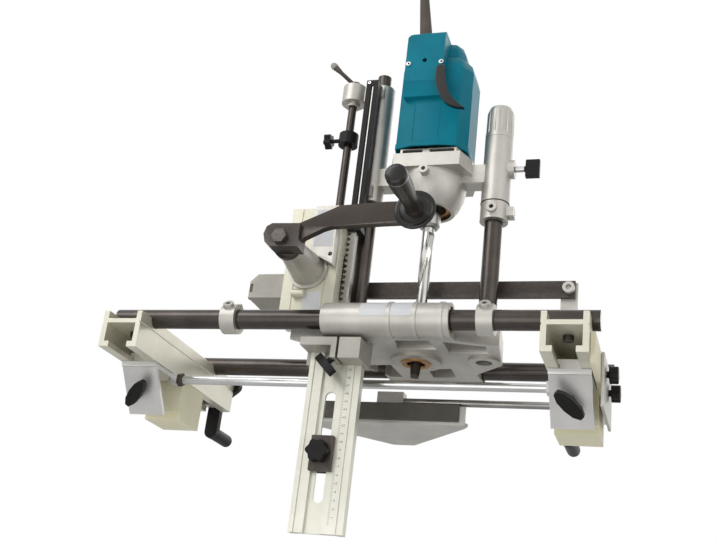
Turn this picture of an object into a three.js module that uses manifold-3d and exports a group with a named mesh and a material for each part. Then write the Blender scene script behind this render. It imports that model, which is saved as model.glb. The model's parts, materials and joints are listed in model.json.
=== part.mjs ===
// A portable lock mortising machine, modelled in millimetres.
// X runs along the two guide bars, Y points away from the operator and Z is the plunge axis.
// The origin is where the spindle axis meets the plane in which the clamp rails sit on the work.

import * as THREE from 'three';
import * as BufferGeometryUtils from 'three/addons/utils/BufferGeometryUtils.js';
import Module from 'manifold-3d';

const wasm = await Module();
wasm.setup();

// Clearances: a seat is left between pieces that rest on each other, run between pieces that slide.
const seat = 0.3;
const run = 0.08;
const overrun = 1;
const meldTolerance = 1e-4;

// Round pieces have this many sides, by size.
const sides = { large: 28, medium: 20, small: 12, flute: 8, hex: 6 };

// The two guide bars.
const bar = { diameter: 25, spacing: 196, capLength: 9, boltDiameter: 8, headShare: 0.8 };

// The two clamp rails, which carry the bars in their upper channel.
const rail = {
  width: 54, height: 48.5, wall: 7, lip: 7.5, slot: 26, webTop: 38, web: 6,
  front: 38, rear: 66, left: 355, right: 204, lineDepth: 1, lineHeight: 2,
};

// The deck casting of the carriage, with its tubes for the bars and its bosses.
const base = { bottom: 33, thickness: 29, tube: 42, rearTube: 38, left: 94, right: 66 };
const cutterBoss = { diameter: 66, drop: 5 };
const columnBoss = { diameter: 40, rise: 10, drop: 3, drain: 21 };
const rib = { first: -8, step: 32, count: 3, width: 5, lift: 1.2 };

// How far the deck's corners lie from the columns, the bars and the spindle axis.
const deck = {
  ringGap: 2, caseReach: 58, caseStep: 4, neckReach: 26, neckFront: 42, neckBack: 14,
  rearLeft: 60, rearRight: 68, rearFront: 58,
  rightReach: 20, rightBack: 18, tipReach: 29, tipFront: 58, cornerDepth: 25,
};

// The pockets under the deck: front and rear ones in the middle, and one beside each column.
const pocketDepthShare = 0.55;
const frontPocket = { left: 9, right: 33, front: 74, back: 42, leftSkew: 5, rightSkew: 3 };
const rearPocket = { left: 6, right: 38, front: 40, back: 74, skew: 6 };
const leftPocket = {
  left: 10, front: 26, right: 48, frontSkew: 4, back: 74, backRight: 51, backLeft: 34, corner: 34,
};
const rightPocket = { left: 38, front: 70, right: 12, rightFront: 54, rightBack: 28, back: 30, skew: 2 };
const guide = { outer: 40, inner: 24 };
const bush = { wall: 3.5, inset: 2 };

// The plunge columns, and the sleeve and tower of the head that run on them.
const column = {
  diameter: 24, reach: 88, sink: 17, leftOver: 5, rightInset: 52, plugHeight: 17, plugShare: 0.84,
};
const sleeve = { diameter: 35, drop: 33, rise: 133 };
const tower = { diameter: 38.6, drop: 39, rise: 39 };
const towerBoss = { diameter: 26, length: 5, drop: 6, studDepth: 10 };
const towerHandle = { length: 19, width: 8, height: 26 };
const cap = {
  height: 49, skirt: 6, taper: 0.8, crown: 8, crownInset: 4, wall: 6,
  flutes: 14, fluteRadius: 2.1, fluteOut: 0.8, fluteFrom: 7,
};

// The plunge travel of the motor head, and the rack and gear sector that drive it.
const plunge = 88;
const gear = {
  teeth: 33, module: 2.5, width: 10, addendum: 2, dedendum: 2.6, toothShare: 0.39, draftShare: 0.364,
};
const gearFace = { front: -37, sectorFrom: -7, sectorTo: 131 };
const rack = { drop: 40, inset: 7, back: 7.6 };
const sparePitches = 3;
const rackWindow = { left: 4, right: 6.05, front: 4, back: 5 };
const rackPad = { left: 9, right: 8, inset: 4, topInset: 6, height: 16, back: 8 };
const cover = {
  length: 238, over: 1, wall: 2.8, right: 6, back: 4.2, shoe: 6, shoeLip: 1,
  grooveX: 6.5, grooveWidth: 2.4, grooveDepth: 1, grooveInset: 10,
};

// The lever shaft, the gear case about it, and the pedestal on the case's front.
const shaft = { reach: 53, rise: 72, diameter: 16, over: 2, boltHead: 6, hubShare: 0.8, boltShare: 0.62 };
const gearCase = {
  leftReach: 33.5, rightReach: 39, front: 60, back: 22, height: 163, wall: 3.5,
  cavityRise: 22, cavityHeight: 100, cavityGap: 4, windowGap: 2, windowBack: 1, windowHalf: 30,
  grooveWidth: 2, grooveDepth: 1.2, grooveLeft: 19, grooveRight: 23,
};
const caseKnob = {
  diameter: 11, left: 16, right: 1, gap: 6, rise: 37.6,
  neckLeft: 11, neckRight: 4, neckDrop: 3.6, neckHeight: 7,
};
const pedestal = { foot: 54, base: 46, tip: 30, length: 73, flange: 4, padReach: 15 };
const gusset = {
  left: 5, right: 37, leftRise: 20, rightRise: 3, topInset: 4,
  hole: 6, holeDepth: 8, holeRight: 33, holeRise: 17,
};
const stopLug = { drop: 25, height: 20, back: 4, side: 20 };

// The plunge lever and its grip. The blade's bend is drawn as shares of the bend's distance from the shaft,
// under the blade outwards and over it back again, and the lever's head as shares of its half width.
const lever = {
  gap: 25, thickness: 10, headGap: 32, head: 20, hub: 36, hubThickness: 6, reach: 167, rise: 33, bend: 50,
  eye: 14, eyeCorner: 10, eyeRoot: 36, eyeRootDrop: 14.6, eyeCrown: 39,
};
const bendUnderShares = [[0.34, -0.16], [0.58, 0.04], [1.02, 0.26], [1.22, 0.32], [1.46, 0.33]];
const bendOverShares = [[1.4, 0.88], [1.18, 0.772], [0.4, 0.43], [0.3, 0.36]];
const leverHeadShares = [
  [1.2, -0.65], [1.2, 0.9], [-0.65, 0.95], [-1, 0.75], [-1.15, 0.25], [-1, -0.3], [-0.65, -0.6],
];
const grip = {
  length: 96, end: 26.6, endRound: 4, endInset: 3, neck: 20,
  flange: 52, lip: 1, flangeThickness: 8, stud: 10, wall: 3,
};
const gripShares = {
  dish: 0.36, lipFrom: 0.4, lipTo: 0.75, root: 0.62, rootAt: 1.2, neckAt: 1.8, neckTo: 0.35, endFrom: 0.7,
};

// The motor head casting, at the top of its travel.
const flange = { bottom: 291, thickness: 20, halfWidth: 57, halfDepth: 48, cornerWidth: 11, cornerDepth: 30 };
const rim = { height: 10, wall: 6, inset: 7 };
const vent = { sill: 1.5, left: 36, leftEnd: 8, rightStart: 2, right: 36, sideHalf: 13 };
const bell = { top: 94, mouth: 66, depth: 48, wall: 5, draft: 0.6 };
const bellShares = [[0, 0], [0.4, 0.16], [0.78, 0.42]];
const bellNeckShare = 0.7;
const bellBoss = { diameter: 13, reach: 9, drop: 9, hole: 6 };
const arm = { halfDepth: 13, drop: 10, inset: 3 };

// The motor, seen from above as shares of its half width and half depth, and how it narrows towards its top.
const motor = { gap: 1, skirt: 126, crown: 6, halfWidth: 50, halfDepth: 50, wall: 4 };
const motorShares = [
  [-0.94, -0.8], [-0.46, -0.96], [0.26, -0.96], [0.76, -0.86], [1, -0.44],
  [1, 0.48], [0.76, 0.88], [-0.76, 0.88], [-1, 0.48], [-1, -0.44],
];
const crownShares = [
  [1, 0], [1, 0], [0.94, 0.22], [0.8, 0.38], [0.72, 0.4], [0.7, 0.66], [0.6, 0.88], [0.42, 1],
];

// What turns in the motor, and what stands still about it.
const spindle = {
  diameter: 20, nut: 30, nutGap: 3, nutHeight: 21, nutBevel: 3, nutToe: 4,
  journal: 12, over: 13, socketDepth: 43,
};
const rotor = {
  diameter: 48, rise: 23, height: 60, fan: 68, fanRise: 3, fanThickness: 6,
  commutatorLift: 4, commutatorRise: 12, commutatorHeight: 18, neck: 1,
};
const stator = { bore: 52, rise: 20, height: 66 };
const bearing = { outer: 32, rise: 4, height: 12 };
const bit = { shank: 17, cutter: 15, tip: 10, cutterLength: 55, flute: 4 };

// The switch box on the motor's front, its lever and the cord boot.
const box = {
  left: 39, right: 15, front: 62, back: 12, rise: 74, height: 101, stepHeight: 21, lip: 7, wall: 4,
  round: 4, toe: 2, cornerDrop: 9, cornerWidth: 8,
};
const boxHole = { diameter: 6.8, fromRight: 27, drop: 47 };
const boxScrew = { diameter: 6.8, height: 1.2, leftInset: 5, rightInset: 2.5, drop: 52.5 };
const boot = {
  fromRight: 35, y: -35, length: 84, root: 18, tip: 13, bore: 10, lean: 7,
  flange: 1.5, flangeHeight: 4, shoulder: 1, tipDrop: 2, tipInset: 1.5,
};

// The lever's outline starts at its first shares. Each curve bends towards one point and ends at the next.
const switchPivot = { fromRight: 1, rise: 31, size: 50, thickness: 7, pin: 4.4, pinLength: 4, hole: 5.2 };
const switchStartShares = [-0.12, 0.04];
const switchShares = [
  [[-0.1, 0.18], [0.02, 0.16]], [[0.14, 0.14], [0.14, -0.04]], [[0.16, -0.44], [0.32, -0.8]],
  [[0.52, -1.08], [0.76, -1.26]], [[0.4, -1.24], [0.2, -1.04]], [[-0.04, -0.76], [-0.12, -0.28]],
];

// The depth stop rod with its bracket, collar and screws.
const rod = { reach: 40.5, y: -10, diameter: 12, inset: 7, length: 233 };
const bracket = {
  rise: 1, height: 27, diameter: 34, bossDrop: 6, boss: 20, webFront: 4, webBack: 16, webInset: 2,
};
const collar = { diameter: 28, drop: 69, height: 18 };
const star = { diameter: 23, thickness: 10, gap: 11, stud: 6, lobes: 5, lobeShare: 0.34 };
const clampLever = { hub: 14, hubHeight: 8, length: 56, stem: 6, tip: 10, tipRound: 2, rise: 45 };
const clampLeverShares = { stem: 0.62, tip: 0.92 };

// The split stop collars on the bars and on the tower's neck.
const stop = {
  outer: 38, width: 20, towerWidth: 26, boss: 14, bossHeight: 24, hole: 6, ear: 12, earReach: 27, slit: 2,
  lean: -40,
};
const stopPlace = { left: -220, right: 108 };

// The upright gauge rail, its holder, slot clamp and knobs.
const gauge = {
  right: 47.5, width: 68, front: 74, depth: 12, bottom: -205, top: 74,
  recess: 5, recessInset: 18.5, recessWidth: 20.5,
  slotInset: 24, slotWidth: 13.5, slotFoot: 36, slotLength: 136,
  grooveLeft: 6, grooveRight: 9, grooveWidth: 2, grooveDepth: 1.5, backInset: 9, backDepth: 3,
};
const holder = {
  front: 30, back: 19, wall: 5, drop: 33, nose: 6, noseFront: 2,
  cutHeight: 16, cutInset: 35.5, slit: 3, slitInset: 7,
};
const holderScrew = {
  inset: 45.5, front: 19.5, drop: 21, lean: 45, step: 5, holeFrom: 14, holeTo: 42, turn: 25,
};
const slotClamp = { left: 6.5, right: 8, middle: -111.5, height: 43, thickness: 7, neck: 20, plate: 5 };
const slotKnob = { diameter: 28, thickness: 13, offset: 0.95, rise: 0.5, lobes: 6, lobeShare: 0.2 };
const thumb = { stud: 8, length: 42, width: 17, thickness: 9, standOff: 14, reach: 6 };

// The front jaws hang sloping plates under the rails, joined by a tie rod.
const jaw = {
  width: 50, plate: 75, thickness: 5, slope: 38, front: 77,
  leg: 65, legThickness: 6, legInset: 2, root: 6, knee: 8,
  tee: 36, teeHeight: 6, teeInset: 8, teeLength: 22, leftTurn: 50, rightTurn: -45,
};
const tie = { diameter: 11.5, y: -20, z: -7, lug: 8, lugHalf: 8, lugDrop: 7.5, inset: 5 };

// The rear jaws are blocks drawn by crank screws that run inside the rails.
const block = {
  width: 54, front: 4, depth: 66, height: 54, rebate: 9, wall: 12, nutFront: 5, nutDepth: 25, nutGap: 1.5,
  pocketShare: 0.5, pocketFloor: 5, rodShare: 0.2, rodEndShare: 0.05,
};
const screw = { diameter: 10, z: 20, front: -4, endBlock: 14 };
const crank = {
  thickness: 10, width: 20, length: 50, stub: 34, grip: 19, gripLength: 54, gripStud: 8, studInset: 6,
  gripWall: 4, bevel: 1, bevelLength: 2, leftTurn: 0, leftStub: 230, rightTurn: 33, rightStub: 213,
};

// Plates and knobs on the outer side of the right rail.
const sidePlate = { front: -122, back: 90, bottom: -8, top: 29, thickness: 5.5 };
const outerPlate = { front: -50, back: 62, bottom: -36, top: 30, thickness: 3.5 };
const sideKnob = {
  diameter: 23, thickness: 11, stud: 8, standOff: 3, lobes: 5, lobeShare: 0.22,
  frontShift: 23, frontDrop: 16.5, rearShift: 11.5, rearRise: 8,
};

// The cross strip behind the columns, its bracket and the block that slides on it.
const strip = { y: 25, thickness: 6, bottom: 129, height: 23, leftInset: 93, rightInset: 9 };
const stripBracket = { leftInset: 28, rightInset: 6, foot: 30, thickness: 5.5, gusset: 36 };
const stripScrew = { head: 16, headHeight: 8, diameter: 8, inset: 17, socket: 7 };
const feedBlock = {
  left: 78.5, length: 141, front: 20, back: 30, drop: 7, height: 36, chamfer: 12, lug: 27, lugInset: 4,
  notchDepth: 5, notchRise: 9, notchHeight: 12,
};

// The steady foot on its rod behind the work.
const steady = {
  rod: 9.6, y: 56, z: -7, block: 36, blockX: -45, left: -160, right: 58, bottom: -38,
  plate: 4, front: 6, fence: 4, padGap: 2, back: 11, footRise: 6, topRise: 12, stem: 8, rodInset: 6,
};
const steadyTail = {
  out: 3, outBack: 7, inset: 4, insetBack: 18, back: 118, right: 7, left: 23, leftBack: 24,
};
const pad = { left: -158, right: 50, thickness: 4, bottom: -34, top: -11 };

// Finishes.
const paint = {
  extrusion: { color: 0xdcdccb, roughness: 0.42, metalness: 0.55 },
  casting: { color: 0xc9cbc6, roughness: 0.5, metalness: 0.5 },
  bar: { color: 0x4a423f, roughness: 0.3, metalness: 0.7 },
  chrome: { color: 0xd4d8d8, roughness: 0.15, metalness: 0.95 },
  steel: { color: 0x8d8b87, roughness: 0.3, metalness: 0.9 },
  black: { color: 0x2b2a2a, roughness: 0.5, metalness: 0.1 },
  blackSteel: { color: 0x35312f, roughness: 0.4, metalness: 0.6 },
  cream: { color: 0xe6e2b4, roughness: 0.6, metalness: 0.05 },
  bronze: { color: 0xb98a4e, roughness: 0.35, metalness: 0.85 },
  teal: { color: 0x12859b, roughness: 0.38, metalness: 0.05 },
  rubber: { color: 0x4d4640, roughness: 0.75, metalness: 0 },
  iron: { color: 0x6d6a66, roughness: 0.5, metalness: 0.6 },
};

// Places worked out from the sizes above: the rails, bars and deck.
const degrees = Math.PI / 180;
const fullTurn = 2 * Math.PI;
const halfTurn = 180;
const barRadius = bar.diameter / 2;
const barY = bar.spacing / 2;
const barZ = rail.webTop + barRadius + seat;
const railFront = -barY - rail.front;
const railRear = barY + rail.rear;
const railInnerHalf = rail.width / 2 - rail.wall;
const webBottom = rail.webTop - rail.web;
const deckTop = base.bottom + base.thickness;
const bossTop = deckTop + columnBoss.rise;
const columnFoot = deckTop - column.sink;
const stripLeft = -rail.left + strip.leftInset;
const stripRight = rail.right - strip.rightInset;
const stripTop = strip.bottom + strip.height;
const stripScrewX = rail.right - stripScrew.inset;

// The shaft, the gear case and the rack.
const pitchRadius = (gear.teeth * gear.module) / 2;
const pitch = Math.PI * gear.module;
const shaftX = -column.reach - shaft.reach;
const shaftZ = deckTop + shaft.rise;
const rackX = shaftX + pitchRadius;
const rackBack = rackX + gear.dedendum + rack.back;
const gearBack = gearFace.front + gear.width;
const coverBack = gearBack + cover.back + seat;
const caseLeft = shaftX - gearCase.leftReach;
const caseRight = shaftX + gearCase.rightReach;
const caseTop = deckTop + gearCase.height;
const pedestalTip = gearCase.front + pedestal.length;
const leverFront = pedestalTip + lever.gap;
const leverHeadFront = pedestalTip + lever.headGap;
const gripX = shaftX + lever.reach;
const gripZ = shaftZ + lever.rise;

// The head, from its flange down to the bell and up to the tower's cap.
const flangeTop = flange.bottom + flange.thickness;
const rimTop = flangeTop + rim.height;
const bellBottom = flange.bottom - bell.depth;
const sleeveBottom = flange.bottom - sleeve.drop;
const sleeveTop = flangeTop + sleeve.rise;
const towerBottom = flange.bottom - tower.drop;
const towerTop = flangeTop + tower.rise;
const towerBossZ = flangeTop - towerBoss.drop;
const towerFace = column.reach + tower.diameter / 2 + towerBoss.length;
const capTop = towerTop + cap.height;
const rackBottom = shaftZ - rack.drop;
const rackTop = sleeveTop - rack.inset;
const coverTop = rackTop + cover.over;
const coverBottom = coverTop - cover.length;

// The motor, the switch box, the spindle and the depth rod.
const motorBottom = rimTop + motor.gap;
const motorShoulder = motorBottom + motor.skirt;
const boxBottom = motorBottom + box.rise;
const boxStep = boxBottom + box.stepHeight;
const boxTop = boxBottom + box.height;
const motorTop = boxTop + motor.crown;
const bootX = box.right - boot.fromRight;
const pivotX = box.right - switchPivot.fromRight;
const pivotZ = boxBottom + switchPivot.rise;
const nutTop = bellBottom - spindle.nutGap;
const nutBottom = nutTop - spindle.nutHeight;
const socketTop = nutBottom + spindle.socketDepth;
const spindleTop = motorShoulder + spindle.over;
const rotorBottom = motorBottom + rotor.rise;
const rotorTop = rotorBottom + rotor.height;
const fanBottom = motorBottom + rotor.fanRise;
const statorBottom = motorBottom + stator.rise;
const statorTop = statorBottom + stator.height;
const bearingBottom = flange.bottom + bearing.rise;
const rodX = -column.reach - rod.reach;
const bracketTop = sleeveTop + bracket.rise;
const bracketBottom = bracketTop - bracket.height;
const rodTop = bracketTop - rod.inset;
const rodBottom = rodTop - rod.length;
const collarBottom = bracketBottom - collar.drop;

// The gauge rail and the block on the cross strip.
const gaugeLeft = -gauge.right - gauge.width;
const gaugeRight = -gauge.right;
const gaugeBackFace = -gauge.front + gauge.depth;
const slotLeft = gaugeLeft + gauge.slotInset;
const slotRight = slotLeft + gauge.slotWidth;
const slotBottom = gauge.bottom + gauge.slotFoot;
const slotTop = slotBottom + gauge.slotLength;
const feedLeft = caseLeft - feedBlock.left;
const feedRight = feedLeft + feedBlock.length;
const feedFront = strip.y - feedBlock.front;
const feedBack = strip.y + feedBlock.back;
const feedBottom = strip.bottom - feedBlock.drop;
const feedTop = feedBottom + feedBlock.height;

// The corner radius of a many-sided bore whose flats clear a shaft of the given radius.
const boreOf = (radius, count) => (radius + run) / Math.cos(Math.PI / count);
const barBore = boreOf(barRadius, sides.large);
const columnBore = boreOf(column.diameter / 2, sides.large);
const shaftBore = boreOf(shaft.diameter / 2, sides.medium);
const rodBore = boreOf(rod.diameter / 2, sides.medium);
const thumbBore = boreOf(thumb.stud / 2, sides.small);

// Solids: a three.js geometry becomes a manifold, and back.
function solid(geometry) {
  const plain = geometry.index ? geometry.toNonIndexed() : geometry.clone();
  plain.deleteAttribute('normal');
  plain.deleteAttribute('uv');
  const merged = BufferGeometryUtils.mergeVertices(plain, meldTolerance);
  const corners = merged.index.array;
  const kept = [];
  for (let i = 0; i < corners.length; i += 3) {
    const [a, b, c] = [corners[i], corners[i + 1], corners[i + 2]];
    if (a !== b && b !== c && c !== a) kept.push(a, b, c);
  }
  const mesh = new wasm.Mesh({
    numProp: 3,
    vertProperties: new Float32Array(merged.attributes.position.array),
    triVerts: new Uint32Array(kept),
  });
  return new wasm.Manifold(mesh);
}

function geometryOf(manifold) {
  const mesh = manifold.getMesh();
  const geometry = new THREE.BufferGeometry();
  const corners = new Float32Array(mesh.vertProperties);
  geometry.setAttribute('position', new THREE.BufferAttribute(corners, 3));
  geometry.setIndex(new THREE.BufferAttribute(new Uint32Array(mesh.triVerts), 1));
  return geometry;
}

const join = (first, ...others) => others.reduce((all, next) => all.add(next), first);
const cut = (first, ...others) => others.reduce((all, next) => all.subtract(next), first);

// A box between two corners.
function slab([x0, x1], [y0, y1], [z0, z1]) {
  const geometry = new THREE.BoxGeometry(x1 - x0, y1 - y0, z1 - z0);
  geometry.translate((x0 + x1) / 2, (y0 + y1) / 2, (z0 + z1) / 2);
  return solid(geometry);
}

// Round bars along each axis. Their flats are turned half a step, so that one flat faces each way.
function turned(radius, from, to, count) {
  const geometry = new THREE.CylinderGeometry(radius, radius, to - from, count);
  geometry.rotateY(Math.PI / count);
  geometry.translate(0, (from + to) / 2, 0);
  return geometry;
}

function alongX(radius, [x0, x1], y, z, count = sides.medium) {
  return solid(turned(radius, x0, x1, count).rotateZ(-Math.PI / 2).translate(0, y, z));
}

function alongY(radius, [y0, y1], x, z, count = sides.medium) {
  return solid(turned(radius, y0, y1, count).translate(x, 0, z));
}

function alongZ(radius, [z0, z1], x, y, count = sides.medium) {
  return solid(turned(radius, z0, z1, count).rotateX(Math.PI / 2).translate(x, y, 0));
}

// A profile of [radius, height] points turned about the Z axis.
function lathe(points, count = sides.large) {
  let area = 0;
  points.forEach(([r, z], i) => {
    const [nextR, nextZ] = points[(i + 1) % points.length];
    area += r * nextZ - nextR * z;
  });
  const ordered = area > 0 ? points : [...points].reverse();
  const outline = [...ordered, ordered[0]].map(([r, z]) => new THREE.Vector2(r, z));
  const geometry = new THREE.LatheGeometry(outline, count);
  geometry.rotateY(Math.PI / count);
  geometry.rotateX(Math.PI / 2);
  return solid(geometry);
}

// Outlines pushed along each axis: across X from [y, z], along Y from [x, z] and up Z from [x, y].
function outlineOf(points) {
  return new THREE.Shape(points.map(([a, b]) => new THREE.Vector2(a, b)));
}

function pushed(shape, depth) {
  return new THREE.ExtrudeGeometry(shape, { depth, bevelEnabled: false, curveSegments: sides.small });
}

function pushX(shape, [x0, x1]) {
  const turn = new THREE.Matrix4().set(0, 0, 1, x0, 1, 0, 0, 0, 0, 1, 0, 0, 0, 0, 0, 1);
  return solid(pushed(shape, x1 - x0).applyMatrix4(turn));
}

function pushY(shape, [y0, y1]) {
  return solid(pushed(shape, y1 - y0).rotateX(Math.PI / 2).translate(0, y1, 0));
}

function pushZ(shape, [z0, z1]) {
  return solid(pushed(shape, z1 - z0).translate(0, 0, z0));
}

// A closed skin through convex outlines of equal length, each at its height.
function loft(levels) {
  const count = levels[0].outline.length;
  const points = levels.flatMap(({ outline, z }) => outline.map(([x, y]) => [x, y, z]));
  const faces = [];
  for (let level = 0; level + 1 < levels.length; level += 1) {
    for (let i = 0; i < count; i += 1) {
      const low = level * count + i;
      const lowNext = level * count + ((i + 1) % count);
      faces.push(low, lowNext, lowNext + count, low, lowNext + count, low + count);
    }
  }
  const last = (levels.length - 1) * count;
  for (let i = 1; i + 1 < count; i += 1) {
    faces.push(0, i + 1, i, last, last + i, last + i + 1);
  }
  const geometry = new THREE.BufferGeometry();
  geometry.setAttribute('position', new THREE.Float32BufferAttribute(points.flat(), 3));
  geometry.setIndex(faces);
  return solid(geometry);
}

// A knob outline with round lobes.
const lobeSteps = 6;
function lobed(diameter, lobes, depthShare) {
  const steps = lobes * lobeSteps;
  const points = [];
  for (let i = 0; i < steps; i += 1) {
    const angle = (i / steps) * fullTurn;
    const radius = (diameter / 2) * (1 - depthShare * (1 - Math.cos(lobes * angle)) / 2);
    points.push([radius * Math.cos(angle), radius * Math.sin(angle)]);
  }
  return outlineOf(points);
}

// The lens outline of a wing screw, long along the first axis.
const lensShares = [
  [-0.5, -0.16], [-0.3, -0.42], [0, -0.5], [0.3, -0.42], [0.5, -0.16],
  [0.5, 0.16], [0.3, 0.42], [0, 0.5], [-0.3, 0.42], [-0.5, 0.16],
];
const lens = (length, width) => outlineOf(lensShares.map(([a, b]) => [a * length, b * width]));

function piece(name, shape, finish) {
  const material = new THREE.MeshStandardMaterial(finish);
  material.name = name;
  const mesh = new THREE.Mesh(geometryOf(shape), material);
  mesh.name = name;
  return mesh;
}

// One clamp rail: a channel above a web, and a slotted tunnel below it.
function railProfile() {
  const half = rail.width / 2;
  const slot = rail.slot / 2;
  const lineTop = webBottom + rail.lineHeight;
  const right = [
    [slot, 0], [half, 0], [half, webBottom], [half - rail.lineDepth, webBottom],
    [half - rail.lineDepth, lineTop], [half, lineTop], [half, rail.height],
    [railInnerHalf, rail.height], [railInnerHalf, rail.webTop],
  ];
  const tunnel = [[railInnerHalf, webBottom], [railInnerHalf, rail.lip], [slot, rail.lip]];
  const mirror = (points) => points.map(([x, z]) => [-x, z]).reverse();
  return outlineOf([...tunnel, ...right, ...mirror(right), ...mirror(tunnel)]);
}

function boltHole(y) {
  return alongZ(bar.boltDiameter / 2 + seat, [webBottom - overrun, rail.webTop + overrun], 0, y, sides.small);
}

function clampRail(name, x) {
  const body = pushY(railProfile(), [railFront, railRear]);
  const half = rail.width / 2 + overrun;
  const inner = railInnerHalf + overrun;
  const blockFront = railRear - screw.endBlock;
  const notches = [-barY, barY].map((y) => alongX(barBore, [-half, half], y, barZ, sides.large));
  const holes = [-barY, barY].map((y) => boltHole(y));
  const endBlock = slab([-inner, inner], [blockFront, railRear], [rail.lip - overrun, webBottom + overrun]);
  const screwRadius = boreOf(screw.diameter / 2, sides.medium);
  const screwBore = alongY(screwRadius, [blockFront - overrun, railRear + overrun], 0, screw.z);
  const mesh = piece(name, cut(join(body, endBlock), ...notches, ...holes, screwBore), paint.extrusion);
  mesh.position.x = x;
  return mesh;
}

// A guide bar with its end cap, and the two screws that pull it down on the rail webs.
function guideBar(name, y) {
  const left = -rail.left - rail.width / 2;
  const right = rail.right + rail.width / 2;
  const head = bar.boltDiameter * bar.headShare;
  const headTop = webBottom - seat;
  const body = alongX(barRadius, [left, right], y, barZ, sides.large);
  const groove = alongX(barRadius - seat, [right - overrun, right + seat + overrun], y, barZ, sides.large);
  const cover = alongX(barRadius, [right + seat, right + seat + bar.capLength], y, barZ, sides.large);
  const bolts = [-rail.left, rail.right].map((x) => join(
    alongZ(bar.boltDiameter / 2, [headTop - overrun, barZ], x, y, sides.small),
    alongZ(head, [headTop - head, headTop], x, y, sides.small),
  ));
  return piece(name, join(body, groove, cover, ...bolts), paint.bar);
}

// The flat strip along X, and the foot that carries it from the right rail's channel.
function feedStrip() {
  const faces = [strip.y, strip.y + strip.thickness];
  const middle = strip.bottom + strip.height / 2;
  const body = slab([stripLeft, stripRight], faces, [strip.bottom, stripTop]);
  const through = [strip.y - overrun, strip.y + strip.thickness + overrun];
  const hole = alongY(stripScrew.diameter / 2 + seat, through, stripScrewX, middle, sides.small);
  return piece('feed_strip', cut(body, hole), paint.blackSteel);
}

function stripFoot() {
  const left = rail.right - stripBracket.leftInset;
  const right = rail.right - stripBracket.rightInset;
  const front = strip.y + strip.thickness + seat;
  const back = front + stripBracket.thickness;
  const floor = rail.webTop + seat;
  const ledge = rail.height + seat;
  const innerWall = rail.right - railInnerHalf + seat;
  const footRight = rail.right + railInnerHalf - seat;
  const upright = pushY(outlineOf([
    [left, ledge], [innerWall, ledge], [innerWall, floor], [footRight, floor],
    [right, rail.height + stripBracket.gusset], [right, stripTop], [left, stripTop],
  ]), [front, back]);
  const footTop = floor + stripBracket.thickness;
  const foot = slab([innerWall, footRight], [front, front + stripBracket.foot], [floor, footTop]);
  return piece('strip_bracket', cut(join(upright, foot, stripScrewBody(back)), stripSocket()), paint.casting);
}

// The socket screw that holds the strip to its foot.
function stripScrewBody(back) {
  const middle = strip.bottom + strip.height / 2;
  const headBack = strip.y - seat;
  return join(
    alongY(stripScrew.head / 2, [headBack - stripScrew.headHeight, headBack], stripScrewX, middle),
    alongY(stripScrew.diameter / 2, [headBack - overrun, back], stripScrewX, middle, sides.small),
  );
}

function stripSocket() {
  const headFront = strip.y - seat - stripScrew.headHeight;
  const depth = [headFront - overrun, headFront + stripScrew.headHeight / 2];
  return alongY(stripScrew.socket / 2, depth, stripScrewX, strip.bottom + strip.height / 2, sides.hex);
}

// Plates on the right rail's outer side, and the two knobs that hold them.
function sidePlates() {
  const face = rail.right + rail.width / 2 + seat;
  const back = face + sidePlate.thickness;
  const outerFaces = [back + seat, back + seat + outerPlate.thickness];
  const through = [face - overrun, back + outerPlate.thickness + overrun * 2];
  const lining = slab([face, back], [sidePlate.front, sidePlate.back], [sidePlate.bottom, sidePlate.top]);
  const outer = slab(outerFaces, [outerPlate.front, outerPlate.back], [outerPlate.bottom, outerPlate.top]);
  const bore = boreOf(sideKnob.stud / 2, sides.small);
  const holes = sideKnobPlaces().map(({ y, z }) => alongX(bore, through, y, z, sides.small));
  return [
    piece('right_side_plate', cut(lining, ...holes), paint.cream),
    piece('right_outer_plate', cut(outer, ...holes), paint.casting),
  ];
}

function sideKnobPlaces() {
  const middle = (outerPlate.front + outerPlate.back) / 2;
  return [
    { name: 'side_knob_front', y: middle - sideKnob.frontShift, z: sidePlate.top - sideKnob.frontDrop },
    { name: 'side_knob_rear', y: middle + sideKnob.rearShift, z: sidePlate.bottom + sideKnob.rearRise },
  ];
}

function sideKnobs() {
  const plates = outerPlate.thickness + sidePlate.thickness;
  const start = sideKnob.standOff;
  const outline = lobed(sideKnob.diameter, sideKnob.lobes, sideKnob.lobeShare);
  return sideKnobPlaces().map(({ name, y, z }) => {
    const head = pushX(outline, [start, start + sideKnob.thickness]);
    const stud = alongX(sideKnob.stud / 2, [-plates, start + overrun], 0, 0, sides.small);
    const mesh = piece(name, join(head, stud), paint.black);
    mesh.position.set(rail.right + rail.width / 2 + seat * 2 + plates, y, z);
    return mesh;
  });
}

// A split collar about the Z axis, with a screw boss towards -Y and a pair of ears towards +X.
function splitCollar(bore, width) {
  const middle = width / 2;
  const through = [-overrun, width + overrun];
  const earHalf = stop.ear / 2 + stop.slit;
  const ring = alongZ(stop.outer / 2, [0, width], 0, 0, sides.large);
  const boss = alongY(stop.boss / 2, [-stop.bossHeight, 0], 0, middle, sides.small);
  const ears = slab([0, stop.earReach], [-earHalf, earHalf], [middle / 2, width - middle / 2]);
  const slit = slab([0, stop.earReach + overrun], [-stop.slit / 2, stop.slit / 2], through);
  const hole = alongY(stop.hole / 2, [-stop.bossHeight - overrun, 0], 0, middle, sides.small);
  return cut(join(ring, boss, ears), slit, hole, alongZ(bore, through, 0, 0, sides.large));
}

// A bar stop: the same collar laid on its side, boss up and forward, ears up and back.
function barStop(name, x) {
  const mesh = piece(name, splitCollar(barBore, stop.width), paint.casting);
  mesh.rotation.set(0, -Math.PI / 2, 0);
  mesh.position.x = stop.width / 2;
  const tilt = new THREE.Group();
  tilt.add(mesh);
  tilt.rotation.x = stop.lean * degrees;
  tilt.position.set(x, -barY, barZ);
  return tilt;
}

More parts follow.
